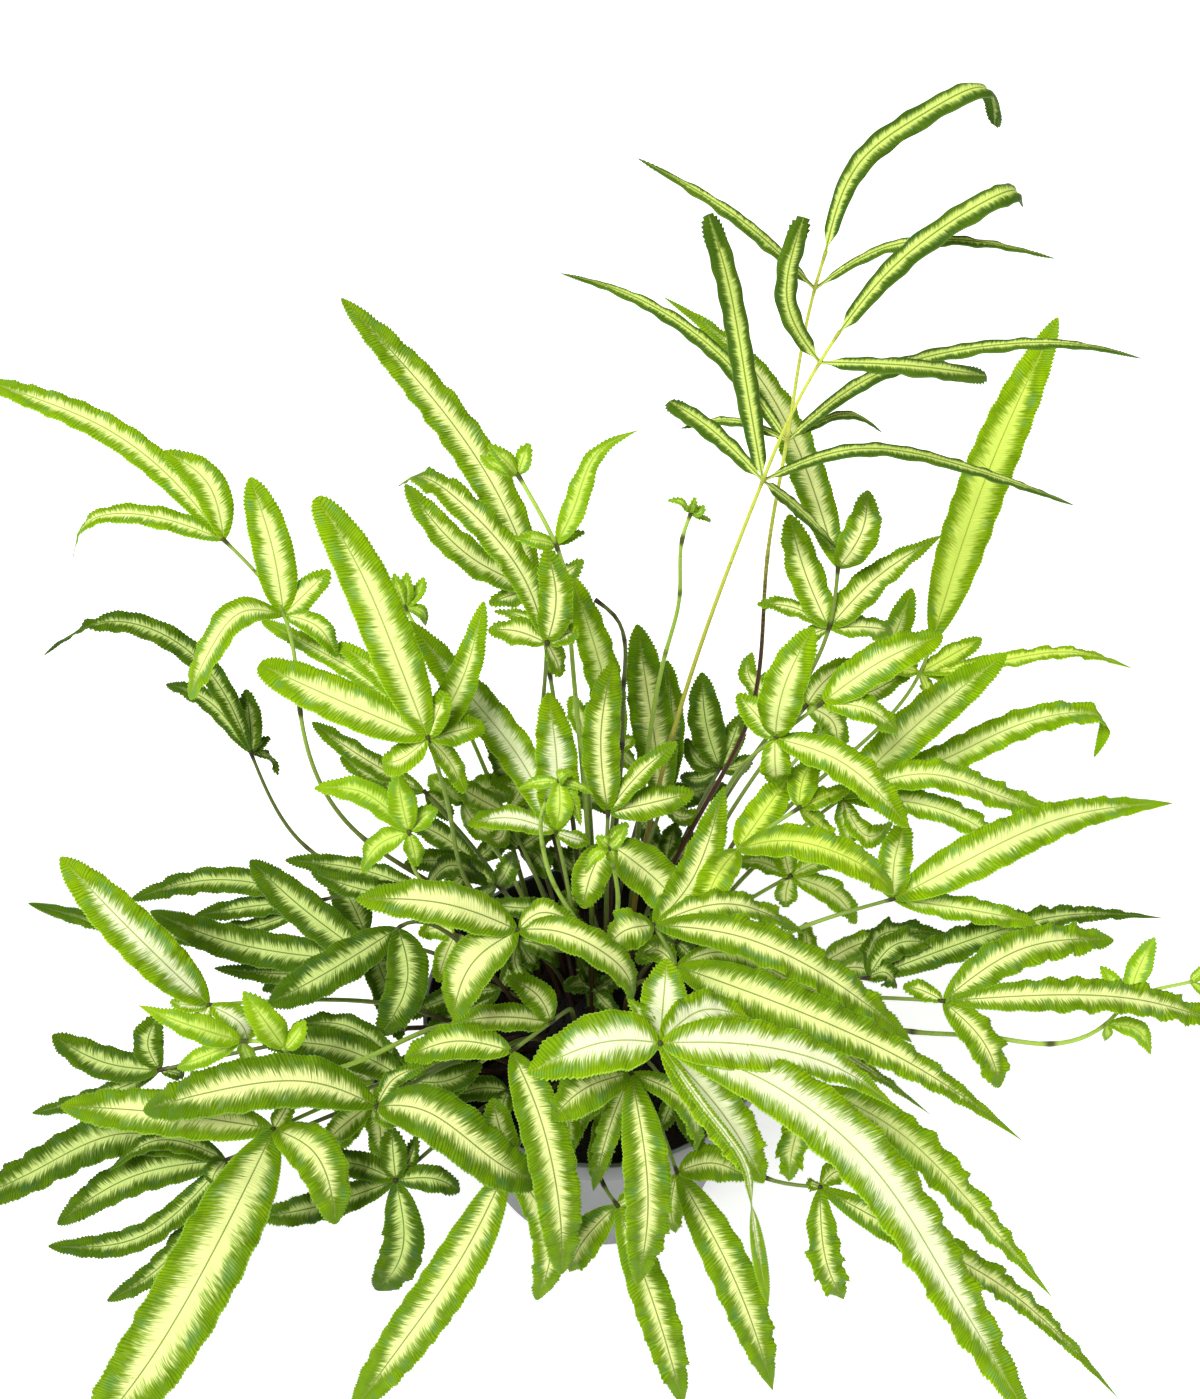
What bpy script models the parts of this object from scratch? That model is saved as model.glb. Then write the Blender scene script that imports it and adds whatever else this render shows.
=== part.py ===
"""A potted brake fern: a round tapered pot of pale plastic, its potting soil, and the fronds.

Each frond is one piece: a wiry stalk that stands in a plain hole in the soil, with strap-like leaflets
fused to it. The fronds lie where the table FRONDS puts them and are bent clear of one another.
Metres, +Z up, the origin at the middle of the pot's underside.
"""
import math

import bmesh
import bpy
import numpy as np
from mathutils import Matrix
from mathutils.bvhtree import BVHTree

# Driving dimensions of the pot and its soil.
RIM_RADIUS = 0.070
RIM_HEIGHT = 0.110
RIM_BAND = 0.0115                               # height of the band round the rim
RIM_STEP = 0.0024                               # how far the band stands out from the wall
BASE_RADIUS = 0.050
WALL = 0.0018
FLOOR = 0.003
EASE = 0.001                                    # small edges
FIT = 0.0003                                    # gap between touching pieces
SOIL_TOP = 0.100
SOIL_MOUND = 0.003
SOIL_RADIUS = 0.0645
ROUND_SIDES = 36

# Driving dimensions of the fronds.
BLADE_THICKNESS = 0.0007
BLADE_TAIL = 0.0005                             # how far a leaflet starts behind the stalk's middle
STALK_RADIUS = 0.0011
STALK_TIP_RADIUS = 0.0009
STALK_RUN = 0.055                               # longest straight run of a stalk
STALK_OVER = 0.0014                             # how far a stalk reaches past its last leaflets
HOLE_RADIUS = 0.0021
HOLE_SIDES = 4
HOLE_DEPTH = 0.026
SHORTEST_EDGES = (0.00012, 0.00006, 0.00002, 0.0)  # edges that fusing may drop, first choice first
SCRAP_FACES = 8                                 # a loose scrap that fusing leaves has fewer faces
LOWEST = 0.010                                  # no leaflet hangs lower than this

# Rows of a leaflet, as fractions of its length, by the length up to which they serve.
BLADE_ROWS = (
    (0.014, (0.0, 0.5, 1.0)),
    (0.056, (0.0, 0.26, 0.66, 1.0)),
    (0.085, (0.0, 0.19, 0.45, 0.77, 1.0)),
    (0.130, (0.0, 0.14, 0.36, 0.62, 0.86, 1.0)),
    (1.000, (0.0, 0.12, 0.30, 0.50, 0.70, 0.88, 1.0)),
)
FLAT_BELOW = 0.024                              # leaflets shorter than this have no fold

# Base colour, roughness and metallic value of each material.
LOOKS = {
    "pot": ((0.62, 0.62, 0.61), 0.55, 0.0),
    "soil": ((0.018, 0.014, 0.011), 0.95, 0.0),
    "dark": ((0.16, 0.24, 0.09), 0.50, 0.0),
    "green": ((0.27, 0.38, 0.13), 0.48, 0.0),
    "bright": ((0.40, 0.50, 0.15), 0.46, 0.0),
    "young": ((0.42, 0.55, 0.10), 0.45, 0.0),
}

# The eye that the table of fronds is read from: it stands in front of the pot and looks down at it.
EYE = np.array((0.0, -0.384, 0.722))            # metres
EYE_TILT = math.radians(48.25)                  # down from level
EYE_REACH = 1800.0                              # picture points from the eye to the picture
EYE_MIDDLE = (600.0, 699.5)                     # the picture point straight ahead
AHEAD = np.array((0.0, math.cos(EYE_TILT), -math.sin(EYE_TILT)))
ACROSS = np.array((1.0, 0.0, 0.0))
ABOVE = np.array((0.0, math.sin(EYE_TILT), math.cos(EYE_TILT)))

# How fronds stand in the soil and keep clear of each other.
FOOT_SPACING = 0.0075
FOOT_REACH = 0.052                              # furthest foot from the pot's middle
STALK_WIDTH = 0.0022
FACING = np.array((0.0, -0.371, 0.928))         # what a blade's face turns to
BLADE_FOLD = 0.16                               # rise of a blade's edges, of half its width
CLEARANCE = 0.0045                              # between fronds, along the line of sight
SIBLING_SHARE = 0.35                            # of that, between leaflets of one frond
STALK_SHARE = 0.9                               # of that, beside a stalk
SAMPLES_ALONG, SAMPLES_ACROSS = 57, 9
SAMPLE_CELL = 7.0                               # picture points
SETTLE_ROUNDS = 110

# Kinds of leaflet: where it is widest, how fast it widens, how late it narrows, how blunt its tip is.
STRAP = (0.42, 2.6, 2.4, 0.75)
SPEAR = (0.30, 2.4, 1.5, 1.0)
OVATE = (0.45, 2.2, 2.0, 0.8)
RIBBON = (0.35, 2.4, 2.6, 0.8)

# Each frond: its name, its colour, the points that its stalk passes from the lowest seen one up, and its
# leaflets. A point is its place x, y as the eye sees it and its height in millimetres. A leaflet is the
# stalk's point that it grows from, its greatest width in millimetres, its kind, and its points to the tip.
FRONDS = [
    ("tall_a", "dark", [(671, 740, 218), (763, 480, 335), (820, 362, 386), (838, 334, 396)], [
        (1, 8.5, STRAP, (745, 375, 362), (724, 265, 388), (708, 214, 402)),
        (1, 7.5, STRAP, (712, 430, 338), (669, 401, 334)),
        (1, 5.5, RIBBON, (856, 449, 345), (960, 465, 342), (1074, 505, 312)),
        (1, 6.5, RIBBON, (798, 508, 318), (838, 549, 296)),
        (2, 7.5, STRAP, (787, 298, 408), (804, 217, 430)),
        (2, 6.5, STRAP, (900, 365, 392), (987, 376, 378)),
        (3, 8.0, STRAP, (910, 252, 420), (1006, 192, 436), (1018, 199, 424))]),
    ("tall_b", "dark", [(716, 786, 180), (750, 715, 216), (767, 560, 290), (787, 440, 342),
            (815, 288, 402), (825, 254, 414)], [
        (3, 6.5, RIBBON, (722, 357, 362), (647, 303, 372), (561, 273, 366)),
        (3, 5.0, RIBBON, (738, 421, 342), (681, 428, 332)),
        (3, 6.0, RIBBON, (862, 382, 362), (960, 350, 378), (1060, 343, 384), (1141, 358, 372)),
        (3, 4.5, RIBBON, (845, 414, 348), (882, 432, 336)),
        (4, 5.5, RIBBON, (738, 218, 424), (638, 158, 432)),
        (4, 4.5, RIBBON, (884, 248, 414), (960, 240, 420), (1054, 258, 410)),
        (5, 7.5, STRAP, (858, 165, 436), (925, 113, 452), (975, 88, 456), (995, 125, 436))]),
    ("right_mid", "green", [(829, 628, 270), (838, 568, 294)], [
        (0, 13, STRAP, (805, 572, 282), (789, 514, 296)),
        (0, 6.5, OVATE, (795, 608, 274), (757, 604, 276)),
        (0, 12, SPEAR, (874, 580, 286), (942, 535, 296)),
        (0, 8.5, OVATE, (862, 627, 272), (893, 632, 262)),
        (0, 6, OVATE, (805, 638, 264), (790, 652, 256)),
        (1, 12.5, OVATE, (864, 525, 300), (868, 490, 310)),
        (1, 13, SPEAR, (805, 466, 312), (745, 360, 330), (664, 297, 338))]),
    ("back_right", "bright", [(920, 673, 212), (932, 642, 224)], [
        (1, 19, STRAP, (985, 480, 268), (1058, 317, 318)),
        (0, 8.5, OVATE, (950, 656, 216), (982, 638, 216)),
        (0, 7, OVATE, (948, 670, 210), (978, 661, 208)),
        (0, 7.5, OVATE, (895, 666, 214), (866, 671, 206)),
        (0, 6.5, SPEAR, (990, 663, 216), (1060, 652, 214), (1132, 668, 196)),
        (0, 5, OVATE, (926, 684, 204), (929, 698, 196))]),
    ("upper_left", "bright", [(368, 842, 185), (300, 710, 245), (284, 615, 270), (224, 540, 292)], [
        (2, 14.5, STRAP, (273, 550, 288), (250, 477, 304)),
        (2, 10.5, OVATE, (307, 592, 276), (330, 570, 280)),
        (2, 12.5, STRAP, (240, 613, 278), (213, 645, 268), (189, 698, 240)),
        (2, 8.5, OVATE, (318, 627, 270), (337, 657, 258)),
        (3, 11, STRAP, (175, 482, 304), (105, 428, 314), (35, 398, 316), (-22, 378, 308)),
        (3, 12.5, OVATE, (210, 487, 306), (163, 451, 310)),
        (3, 8.5, SPEAR, (150, 516, 300), (90, 521, 298), (72, 566, 280))]),
    ("dark_left", "dark", [(304, 845, 165), (251, 753, 198)], [
        (1, 9, STRAP, (228, 700, 216), (185, 648, 236), (105, 622, 246), (44, 655, 236)),
        (1, 7.5, STRAP, (212, 704, 206), (166, 684, 200)),
        (1, 9.5, OVATE, (250, 722, 204), (246, 689, 212)),
        (1, 5, OVATE, (262, 742, 196), (270, 737, 196)),
        (1, 3, OVATE, (270, 757, 190), (278, 775, 182))]),
    ("left_star", "bright", [(480, 900, 160), (452, 825, 205), (428, 738, 262)], [
        (2, 17, STRAP, (392, 645, 292), (352, 555, 314), (316, 497, 326)),
        (2, 16, STRAP, (345, 703, 272), (259, 664, 270)),
        (2, 9, OVATE, (439, 708, 270), (446, 692, 274)),
        (2, 10.5, OVATE, (457, 731, 258), (484, 724, 254)),
        (2, 11, OVATE, (405, 757, 256), (382, 764, 248)),
        (2, 13, SPEAR, (464, 675, 262), (484, 601, 280)),
        (2, 8, RIBBON, (385, 692, 256), (320, 651, 250), (262, 620, 240)),
        (2, 9, STRAP, (392, 685, 258), (338, 643, 262)),
        (2, 8, OVATE, (450, 762, 246), (465, 792, 232))]),
    ("back_a", "green", [(552, 830, 168), (544, 690, 262), (547, 643, 300)], [
        (2, 10, STRAP, (524, 578, 322), (470, 511, 340), (425, 478, 342), (399, 486, 330)),
        (2, 11.5, STRAP, (556, 592, 320), (546, 547, 334)),
        (2, 9.5, OVATE, (516, 631, 304), (488, 630, 302)),
        (2, 8.5, OVATE, (565, 634, 304), (579, 632, 306)),
        (2, 7.5, OVATE, (556, 660, 292), (561, 676, 284)),
        (2, 4, RIBBON, (520, 616, 298), (494, 611, 298))]),
    ("back_b", "young", [(570, 625, 285), (556, 545, 328), (518, 475, 352)], [
        (1, 8, SPEAR, (576, 503, 340), (596, 455, 350), (638, 430, 354)),
        (1, 6, OVATE, (536, 540, 334), (515, 538, 336)),
        (1, 3.5, OVATE, (573, 535, 328), (585, 532, 328)),
        (2, 6, OVATE, (503, 458, 360), (488, 444, 364)),
        (2, 5.5, OVATE, (522, 462, 356), (529, 443, 360)),
        (2, 4, OVATE, (498, 467, 348), (480, 455, 346))]),
    ("back_c", "green", [(550, 675, 232), (538, 590, 276)], [
        (1, 14.5, STRAP, (500, 498, 306), (430, 395, 330), (341, 298, 350)),
        (1, 11.5, STRAP, (475, 560, 286), (405, 484, 300)),
        (1, 8.5, OVATE, (512, 595, 274), (489, 604, 272)),
        (1, 7.5, OVATE, (566, 573, 282), (584, 560, 286))]),
    ("back_d", "green", [(620, 750, 196)], [
        (0, 13.5, STRAP, (596, 650, 236), (570, 573, 266)),
        (0, 6, OVATE, (628, 742, 198), (634, 738, 198)),
        (0, 7, OVATE, (630, 762, 190), (640, 768, 184)),
        (0, 6, OVATE, (600, 735, 196), (590, 715, 200))]),
    ("middle_a", "green", [(607, 842, 212), (608, 812, 226)], [
        (1, 13.5, STRAP, (601, 735, 252), (613, 662, 276)),
        (1, 8, STRAP, (640, 773, 238), (677, 742, 248)),
        (1, 12, OVATE, (655, 802, 226), (694, 792, 224)),
        (0, 13.5, OVATE, (592, 872, 208), (583, 908, 194)),
        (0, 17.5, STRAP, (652, 876, 210), (698, 926, 196)),
        (0, 6, OVATE, (618, 834, 218), (628, 823, 222))]),
    ("back_e", "dark", [(664, 800, 170)], [
        (0, 17, STRAP, (651, 715, 206), (637, 624, 244)),
        (0, 10, STRAP, (672, 730, 188), (667, 660, 212)),
        (0, 8, OVATE, (676, 815, 164), (700, 812, 158))]),
    ("back_f", "dark", [(720, 768, 170)], [
        (0, 14.5, OVATE, (707, 728, 184), (702, 672, 202)),
        (0, 9.5, OVATE, (732, 741, 176), (741, 714, 184)),
        (0, 8, OVATE, (738, 766, 168), (752, 756, 168)),
        (0, 9, OVATE, (700, 762, 164), (686, 738, 166)),
        (0, 7, OVATE, (703, 778, 164), (680, 776, 158))]),
    ("young_back", "young", [(665, 655, 232), (680, 590, 266), (682, 540, 288), (691, 513, 300)], [
        (3, 2.4, RIBBON, (682, 503, 304), (668, 500, 304)),
        (3, 3.2, OVATE, (693, 505, 306), (695, 497, 309)),
        (3, 3.4, OVATE, (700, 511, 302), (704, 505, 304)),
        (3, 2.4, OVATE, (701, 517, 298), (711, 520, 294))]),
    ("bare_stem", "dark", [(622, 745, 214), (624, 680, 246), (624, 637, 266), (612, 613, 277),
            (597, 601, 280)], []),
    ("young_left", "young", [(405, 607, 238)], [
        (0, 5, OVATE, (399, 592, 244), (394, 573, 250)),
        (0, 5.5, OVATE, (406, 590, 244), (407, 572, 250)),
        (0, 5.5, OVATE, (415, 596, 240), (424, 577, 244)),
        (0, 5, OVATE, (420, 611, 236), (426, 625, 228))]),
    ("young_mid_a", "young", [(583, 932, 165), (553, 882, 190), (543, 848, 206), (547, 800, 238),
            (559, 781, 250)], [
        (4, 4.5, SPEAR, (540, 782, 250), (517, 789, 244)),
        (4, 9, OVATE, (560, 805, 246), (556, 829, 236)),
        (4, 5, SPEAR, (573, 803, 246), (581, 826, 236)),
        (4, 4, SPEAR, (577, 785, 250), (593, 794, 246)),
        (4, 4.5, OVATE, (562, 775, 256), (572, 771, 256))]),
    ("young_mid_b", "young", [(618, 900, 196), (613, 865, 226), (609, 847, 240)], [
        (2, 4, SPEAR, (600, 852, 240), (585, 874, 228)),
        (2, 4.5, OVATE, (604, 842, 244), (596, 836, 246)),
        (2, 4, SPEAR, (612, 855, 236), (616, 864, 230)),
        (2, 4.5, OVATE, (618, 840, 246), (626, 826, 250))]),
    ("middle_b", "green", [(556, 832, 200)], [
        (0, 15.5, STRAP, (557, 765, 226), (548, 692, 248)),
        (0, 9.5, OVATE, (510, 818, 206), (467, 824, 200)),
        (0, 14.5, STRAP, (524, 765, 218), (465, 690, 240), (409, 621, 258)),
        (0, 6, OVATE, (572, 838, 198), (590, 842, 194))]),
    ("young_star", "young", [(425, 885, 180), (409, 832, 216)], [
        (1, 10, STRAP, (362, 792, 228), (314, 788, 226)),
        (1, 10.5, OVATE, (402, 802, 226), (397, 772, 234)),
        (1, 8.5, OVATE, (424, 816, 218), (438, 809, 220)),
        (1, 9.5, STRAP, (380, 844, 208), (362, 872, 192)),
        (1, 7, OVATE, (414, 850, 208), (417, 866, 200))]),
    ("left_a", "dark", [(398, 928, 186), (372, 960, 180)], [
        (0, 15.5, STRAP, (338, 966, 186), (268, 1004, 166)),
        (0, 15.5, STRAP, (408, 972, 184), (380, 1036, 158)),
        (1, 14.5, STRAP, (300, 906, 182), (250, 860, 180)),
        (1, 14, STRAP, (320, 957, 168), (238, 944, 164), (150, 911, 156)),
        (1, 9, OVATE, (290, 974, 152), (214, 968, 146))]),
    ("left_b", "dark", [(425, 893, 166), (322, 900, 160)], [
        (0, 9.5, STRAP, (370, 891, 178), (311, 872, 180)),
        (0, 9, STRAP, (370, 872, 164), (285, 860, 160)),
        (0, 9, STRAP, (448, 866, 168), (490, 884, 162)),
        (1, 10.5, STRAP, (210, 880, 160), (130, 900, 150)),
        (1, 9, STRAP, (255, 906, 152), (194, 916, 144)),
        (1, 8.5, STRAP, (220, 934, 136), (120, 926, 128), (28, 903, 116))]),
    ("left_c", "bright", [(209, 1005, 180)], [
        (0, 17, STRAP, (145, 944, 206), (60, 857, 218)),
        (0, 10.5, OVATE, (237, 1020, 176), (246, 1046, 158)),
        (0, 5, OVATE, (188, 1005, 178), (170, 1001, 176)),
        (0, 6, OVATE, (204, 1014, 174), (198, 1024, 168))]),
    ("young_bottom", "young", [(291, 1057, 196), (285, 1049, 200), (242, 1041, 206)], [
        (1, 10.5, OVATE, (266, 1022, 214), (243, 991, 222)),
        (1, 6.5, OVATE, (296, 1036, 206), (305, 1020, 210)),
        (2, 9.5, SPEAR, (192, 1026, 216), (138, 1005, 214)),
        (2, 7, OVATE, (212, 1053, 202), (177, 1068, 190)),
        (2, 6, OVATE, (250, 1060, 190), (256, 1072, 180))]),
    ("left_d", "dark", [(160, 1070, 140)], [
        (0, 12, OVATE, (148, 1045, 148), (160, 1014, 158)),
        (0, 12.5, STRAP, (110, 1064, 138), (52, 1035, 136)),
        (0, 5, OVATE, (172, 1072, 138), (184, 1076, 132)),
        (0, 7, RIBBON, (120, 1088, 128), (32, 1113, 104))]),
    ("left_e", "green", [(377, 1106, 192)], [
        (0, 18, STRAP, (310, 1082, 206), (225, 1089, 204), (143, 1110, 182)),
        (0, 18, STRAP, (432, 1114, 204), (490, 1157, 192), (541, 1183, 168)),
        (0, 6, OVATE, (395, 1078, 190), (424, 1067, 186)),
        (0, 6, OVATE, (386, 1118, 184), (398, 1124, 178))]),
    ("left_f", "green", [(274, 1129, 170)], [
        (0, 16, STRAP, (165, 1113, 168), (61, 1106, 154)),
        (0, 25, STRAP, (222, 1235, 178), (160, 1345, 160), (78, 1450, 118)),
        (0, 16.5, STRAP, (312, 1150, 176), (336, 1224, 146)),
        (0, 7.5, OVATE, (284, 1112, 174), (291, 1098, 176)),
        (0, 8, OVATE, (262, 1152, 156), (270, 1172, 144))]),
    ("left_g", "dark", [(226, 1160, 118)], [
        (0, 17, STRAP, (120, 1134, 126), (40, 1168, 116), (-48, 1206, 92)),
        (0, 14.5, STRAP, (146, 1172, 112), (57, 1224, 86)),
        (0, 8.5, SPEAR, (160, 1140, 130), (109, 1171, 118)),
        (0, 9.5, OVATE, (217, 1170, 118), (212, 1184, 110)),
        (0, 10, STRAP, (150, 1232, 94), (48, 1246, 72)),
        (0, 9.5, STRAP, (170, 1257, 84), (107, 1301, 56))]),
    ("left_h", "green", [(396, 1180, 142)], [
        (0, 11, STRAP, (330, 1203, 132), (258, 1217, 112)),
        (0, 9.5, STRAP, (360, 1165, 146), (312, 1166, 138)),
        (0, 10, OVATE, (393, 1150, 150), (392, 1127, 154)),
        (0, 5.5, OVATE, (410, 1158, 144), (416, 1136, 146)),
        (0, 9.5, OVATE, (430, 1178, 142), (460, 1191, 130)),
        (0, 15.5, STRAP, (404, 1230, 128), (376, 1290, 88))]),
    ("left_i", "dark", [(408, 1080, 158)], [
        (0, 12.5, STRAP, (350, 1051, 168), (262, 1043, 160)),
        (0, 9, STRAP, (350, 1027, 160), (292, 1025, 152)),
        (0, 10, OVATE, (440, 1082, 158), (482, 1064, 156))]),
    ("middle_c", "green", [(551, 1022, 186), (512, 1051, 190)], [
        (0, 9.5, STRAP, (500, 1017, 198), (451, 1023, 190)),
        (0, 10.5, OVATE, (534, 992, 200), (506, 977, 204)),
        (1, 12.5, STRAP, (462, 1041, 198), (404, 1059, 182)),
        (1, 16, STRAP, (541, 1120, 196), (557, 1190, 172), (562, 1274, 126))]),
    ("front_a", "green", [(508, 1165, 158)], [
        (0, 17.5, STRAP, (470, 1243, 152), (418, 1322, 122), (352, 1412, 72)),
        (0, 13, STRAP, (536, 1200, 150), (537, 1300, 98)),
        (0, 11, OVATE, (500, 1130, 162), (492, 1098, 166))]),
    ("front_star", "bright", [(590, 960, 150), (560, 950, 200), (518, 930, 242)], [
        (2, 14.5, STRAP, (446, 904, 258), (356, 899, 252)),
        (2, 16, STRAP, (480, 955, 244), (453, 1019, 216)),
        (2, 11, STRAP, (570, 935, 256), (619, 965, 242), (631, 1006, 214)),
        (2, 9, OVATE, (540, 913, 250), (578, 924, 244))]),
    ("front_big", "bright", [(660, 1043, 236)], [
        (0, 19, STRAP, (600, 1043, 252), (527, 1073, 238)),
        (0, 12.5, STRAP, (700, 1011, 246), (749, 1019, 236)),
        (0, 16, SPEAR, (760, 1046, 250), (838, 1068, 240), (898, 1110, 220)),
        (0, 19, STRAP, (760, 1078, 246), (862, 1155, 234), (940, 1268, 206), (1036, 1430, 158)),
        (0, 15, OVATE, (664, 995, 246), (667, 958, 250)),
        (0, 5, OVATE, (643, 1015, 244), (628, 999, 246)),
        (0, 16, STRAP, (712, 1100, 222), (764, 1183, 182)),
        (0, 7.5, SPEAR, (705, 1108, 230), (744, 1163, 206), (751, 1200, 186), (768, 1304, 134))]),
    ("front_long", "green", [(676, 966, 204), (654, 925, 220)], [
        (0, 17, SPEAR, (765, 998, 222), (895, 1055, 206), (1023, 1141, 168)),
        (0, 9, STRAP, (720, 952, 198), (800, 985, 186), (868, 1024, 166)),
        (0, 8, OVATE, (655, 950, 198), (640, 958, 190)),
        (0, 7, SPEAR, (830, 1045, 190), (930, 1114, 150)),
        (1, 14, STRAP, (745, 938, 232), (835, 982, 218), (912, 1042, 190)),
        (1, 14.5, OVATE, (632, 928, 222), (609, 946, 208)),
        (1, 14, STRAP, (692, 880, 216), (724, 786, 232)),
        (1, 9.5, STRAP, (730, 904, 212), (804, 933, 196))]),
    ("front_b", "green", [(631, 1073, 212)], [
        (0, 15.5, OVATE, (594, 1084, 214), (551, 1121, 194)),
        (0, 15.5, STRAP, (643, 1140, 206), (648, 1210, 178), (637, 1286, 132)),
        (0, 9, STRAP, (674, 1092, 204), (697, 1151, 168)),
        (0, 8, STRAP, (612, 1120, 180), (593, 1191, 132))]),
    ("front_c", "green", [(677, 1172, 146)], [
        (0, 12.5, OVATE, (710, 1163, 154), (750, 1180, 142)),
        (0, 15.5, STRAP, (718, 1245, 140), (773, 1391, 78)),
        (0, 9.5, OVATE, (671, 1206, 130), (676, 1233, 110))]),
    ("front_d", "green", [(603, 1184, 130), (617, 1205, 134)], [
        (1, 13, OVATE, (594, 1228, 128), (569, 1272, 98)),
        (1, 14.5, STRAP, (640, 1265, 122), (684, 1408, 56)),
        (1, 6, OVATE, (628, 1199, 136), (634, 1190, 140))]),
    ("right_front_a", "green", [(816, 1087, 172)], [
        (0, 14.5, SPEAR, (892, 1127, 174), (968, 1200, 154), (1053, 1298, 112)),
        (0, 10.5, STRAP, (799, 1126, 162), (789, 1181, 134)),
        (0, 9.5, STRAP, (875, 1142, 160), (921, 1182, 138))]),
    ("right_front_b", "green", [(766, 1178, 126), (820, 1187, 128)], [
        (1, 12.5, OVATE, (822, 1236, 120), (844, 1299, 82)),
        (1, 12.5, SPEAR, (893, 1227, 134), (990, 1278, 110), (1121, 1401, 58)),
        (1, 8, OVATE, (838, 1171, 134), (866, 1179, 130)),
        (1, 4, OVATE, (812, 1184, 130), (806, 1184, 130))]),
    ("right_a", "bright", [(893, 899, 188)], [
        (0, 12.5, STRAP, (895, 858, 200), (906, 822, 208)),
        (0, 17, SPEAR, (960, 864, 202), (1050, 822, 204), (1173, 803, 186)),
        (0, 9.5, STRAP, (965, 909, 182), (1036, 923, 166))]),
    ("right_b", "bright", [(738, 849, 222), (799, 808, 226)], [
        (0, 12.5, STRAP, (800, 842, 240), (862, 865, 232), (894, 893, 214)),
        (0, 12, STRAP, (717, 876, 222), (702, 924, 204)),
        (0, 13, STRAP, (764, 812, 216), (795, 768, 224)),
        (1, 11, OVATE, (803, 780, 234), (816, 756, 242)),
        (1, 7, OVATE, (826, 796, 226), (850, 788, 226)),
        (1, 8, OVATE, (820, 826, 218), (836, 842, 208))]),
    ("right_star", "bright", [(722, 798, 196), (775, 738, 254), (822, 703, 268)], [
        (1, 15, STRAP, (786, 682, 279), (813, 627, 295)),
        (1, 10.5, OVATE, (755, 713, 260), (737, 694, 264)),
        (1, 11, OVATE, (775, 760, 246), (777, 782, 232)),
        (1, 13.5, STRAP, (838, 760, 256), (908, 827, 236)),
        (2, 14, STRAP, (880, 662, 284), (943, 635, 284)),
        (2, 10, OVATE, (861, 707, 272), (898, 732, 258))]),
    ("right_c", "green", [(842, 798, 214)], [
        (0, 16, STRAP, (920, 722, 236), (1007, 653, 250)),
        (0, 11.5, STRAP, (925, 774, 228), (1000, 796, 216), (1057, 812, 198)),
        (0, 10.5, STRAP, (915, 803, 214), (980, 828, 200), (1013, 859, 180)),
        (0, 9, OVATE, (848, 822, 212), (850, 845, 200)),
        (0, 8.5, OVATE, (868, 836, 206), (893, 822, 204)),
        (0, 12.5, STRAP, (960, 752, 206), (1050, 716, 206), (1104, 724, 196), (1094, 757, 184))]),
    ("right_d", "bright", [(943, 1001, 162)], [
        (0, 14.5, STRAP, (1010, 954, 172), (1114, 940, 160)),
        (0, 12.5, STRAP, (1050, 995, 168), (1140, 1000, 158), (1238, 1030, 134)),
        (0, 13, STRAP, (976, 1032, 160), (1000, 1087, 134)),
        (0, 7, OVATE, (921, 990, 162), (903, 986, 160))]),
    ("right_e", "dark", [(868, 978, 164)], [
        (0, 12, SPEAR, (970, 940, 168), (1060, 916, 162), (1164, 918, 144)),
        (0, 10, STRAP, (890, 948, 172), (942, 946, 164)),
        (0, 8, OVATE, (883, 972, 168), (897, 988, 160)),
        (0, 9, STRAP, (880, 936, 158), (950, 935, 150))]),
    ("young_right", "young", [(915, 1032, 128), (990, 1037, 136), (1048, 1044, 138),
            (1106, 1024, 136), (1128, 1002, 134), (1190, 982, 126),
        (1226, 970, 120)], [
        (3, 8, OVATE, (1134, 1028, 136), (1151, 1054, 124)),
        (3, 4.5, OVATE, (1107, 1032, 132), (1108, 1039, 126)),
        (4, 9.5, OVATE, (1138, 970, 142), (1155, 937, 150)),
        (4, 6, OVATE, (1114, 982, 136), (1100, 966, 140)),
        (5, 4, OVATE, (1198, 974, 128), (1206, 964, 130)),
        (5, 4, OVATE, (1200, 988, 124), (1212, 992, 120)),
        (6, 4, OVATE, (1236, 962, 120), (1246, 950, 120))]),
    ("right_small", "bright", [(790, 876, 182)], [
        (0, 6.5, STRAP, (764, 863, 182), (734, 862, 176)),
        (0, 8.5, OVATE, (786, 860, 186), (783, 848, 190)),
        (0, 6.5, STRAP, (820, 862, 184), (842, 862, 180)),
        (0, 10.5, OVATE, (829, 891, 178), (857, 923, 160)),
        (0, 8.5, OVATE, (786, 893, 174), (786, 907, 166))]),
    ("left_j", "dark", [(425, 792, 186)], [
        (0, 8.5, STRAP, (375, 765, 192), (312, 722, 194)),
        (0, 8, STRAP, (380, 778, 184), (340, 757, 180)),
        (0, 8, OVATE, (440, 805, 178), (452, 820, 170))]),
    ("middle_d", "green", [(505, 812, 178)], [
        (0, 10, OVATE, (468, 792, 194), (448, 778, 202)),
        (0, 9, STRAP, (520, 790, 186), (490, 782, 190)),
        (0, 8, OVATE, (500, 838, 168), (484, 838, 164)),
        (0, 8, STRAP, (525, 828, 172), (545, 850, 160))]),
    ("under_right", "bright", [(850, 700, 196)], [
        (0, 12, STRAP, (888, 648, 212), (912, 588, 224)),
        (0, 10, STRAP, (833, 716, 190), (818, 748, 178)),
        (0, 9, OVATE, (868, 690, 196), (884, 676, 198))]),
    ("under_far_right", "green", [(820, 965, 124)], [
        (0, 10, STRAP, (850, 948, 128), (890, 935, 126)),
        (0, 10, OVATE, (835, 985, 122), (842, 1008, 116)),
        (0, 8, OVATE, (808, 945, 126), (806, 922, 128))]),
    ("under_left", "green", [(366, 935, 140)], [
        (0, 14, OVATE, (352, 903, 146), (330, 868, 148)),
        (0, 13, STRAP, (386, 985, 132), (400, 1040, 116)),
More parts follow.
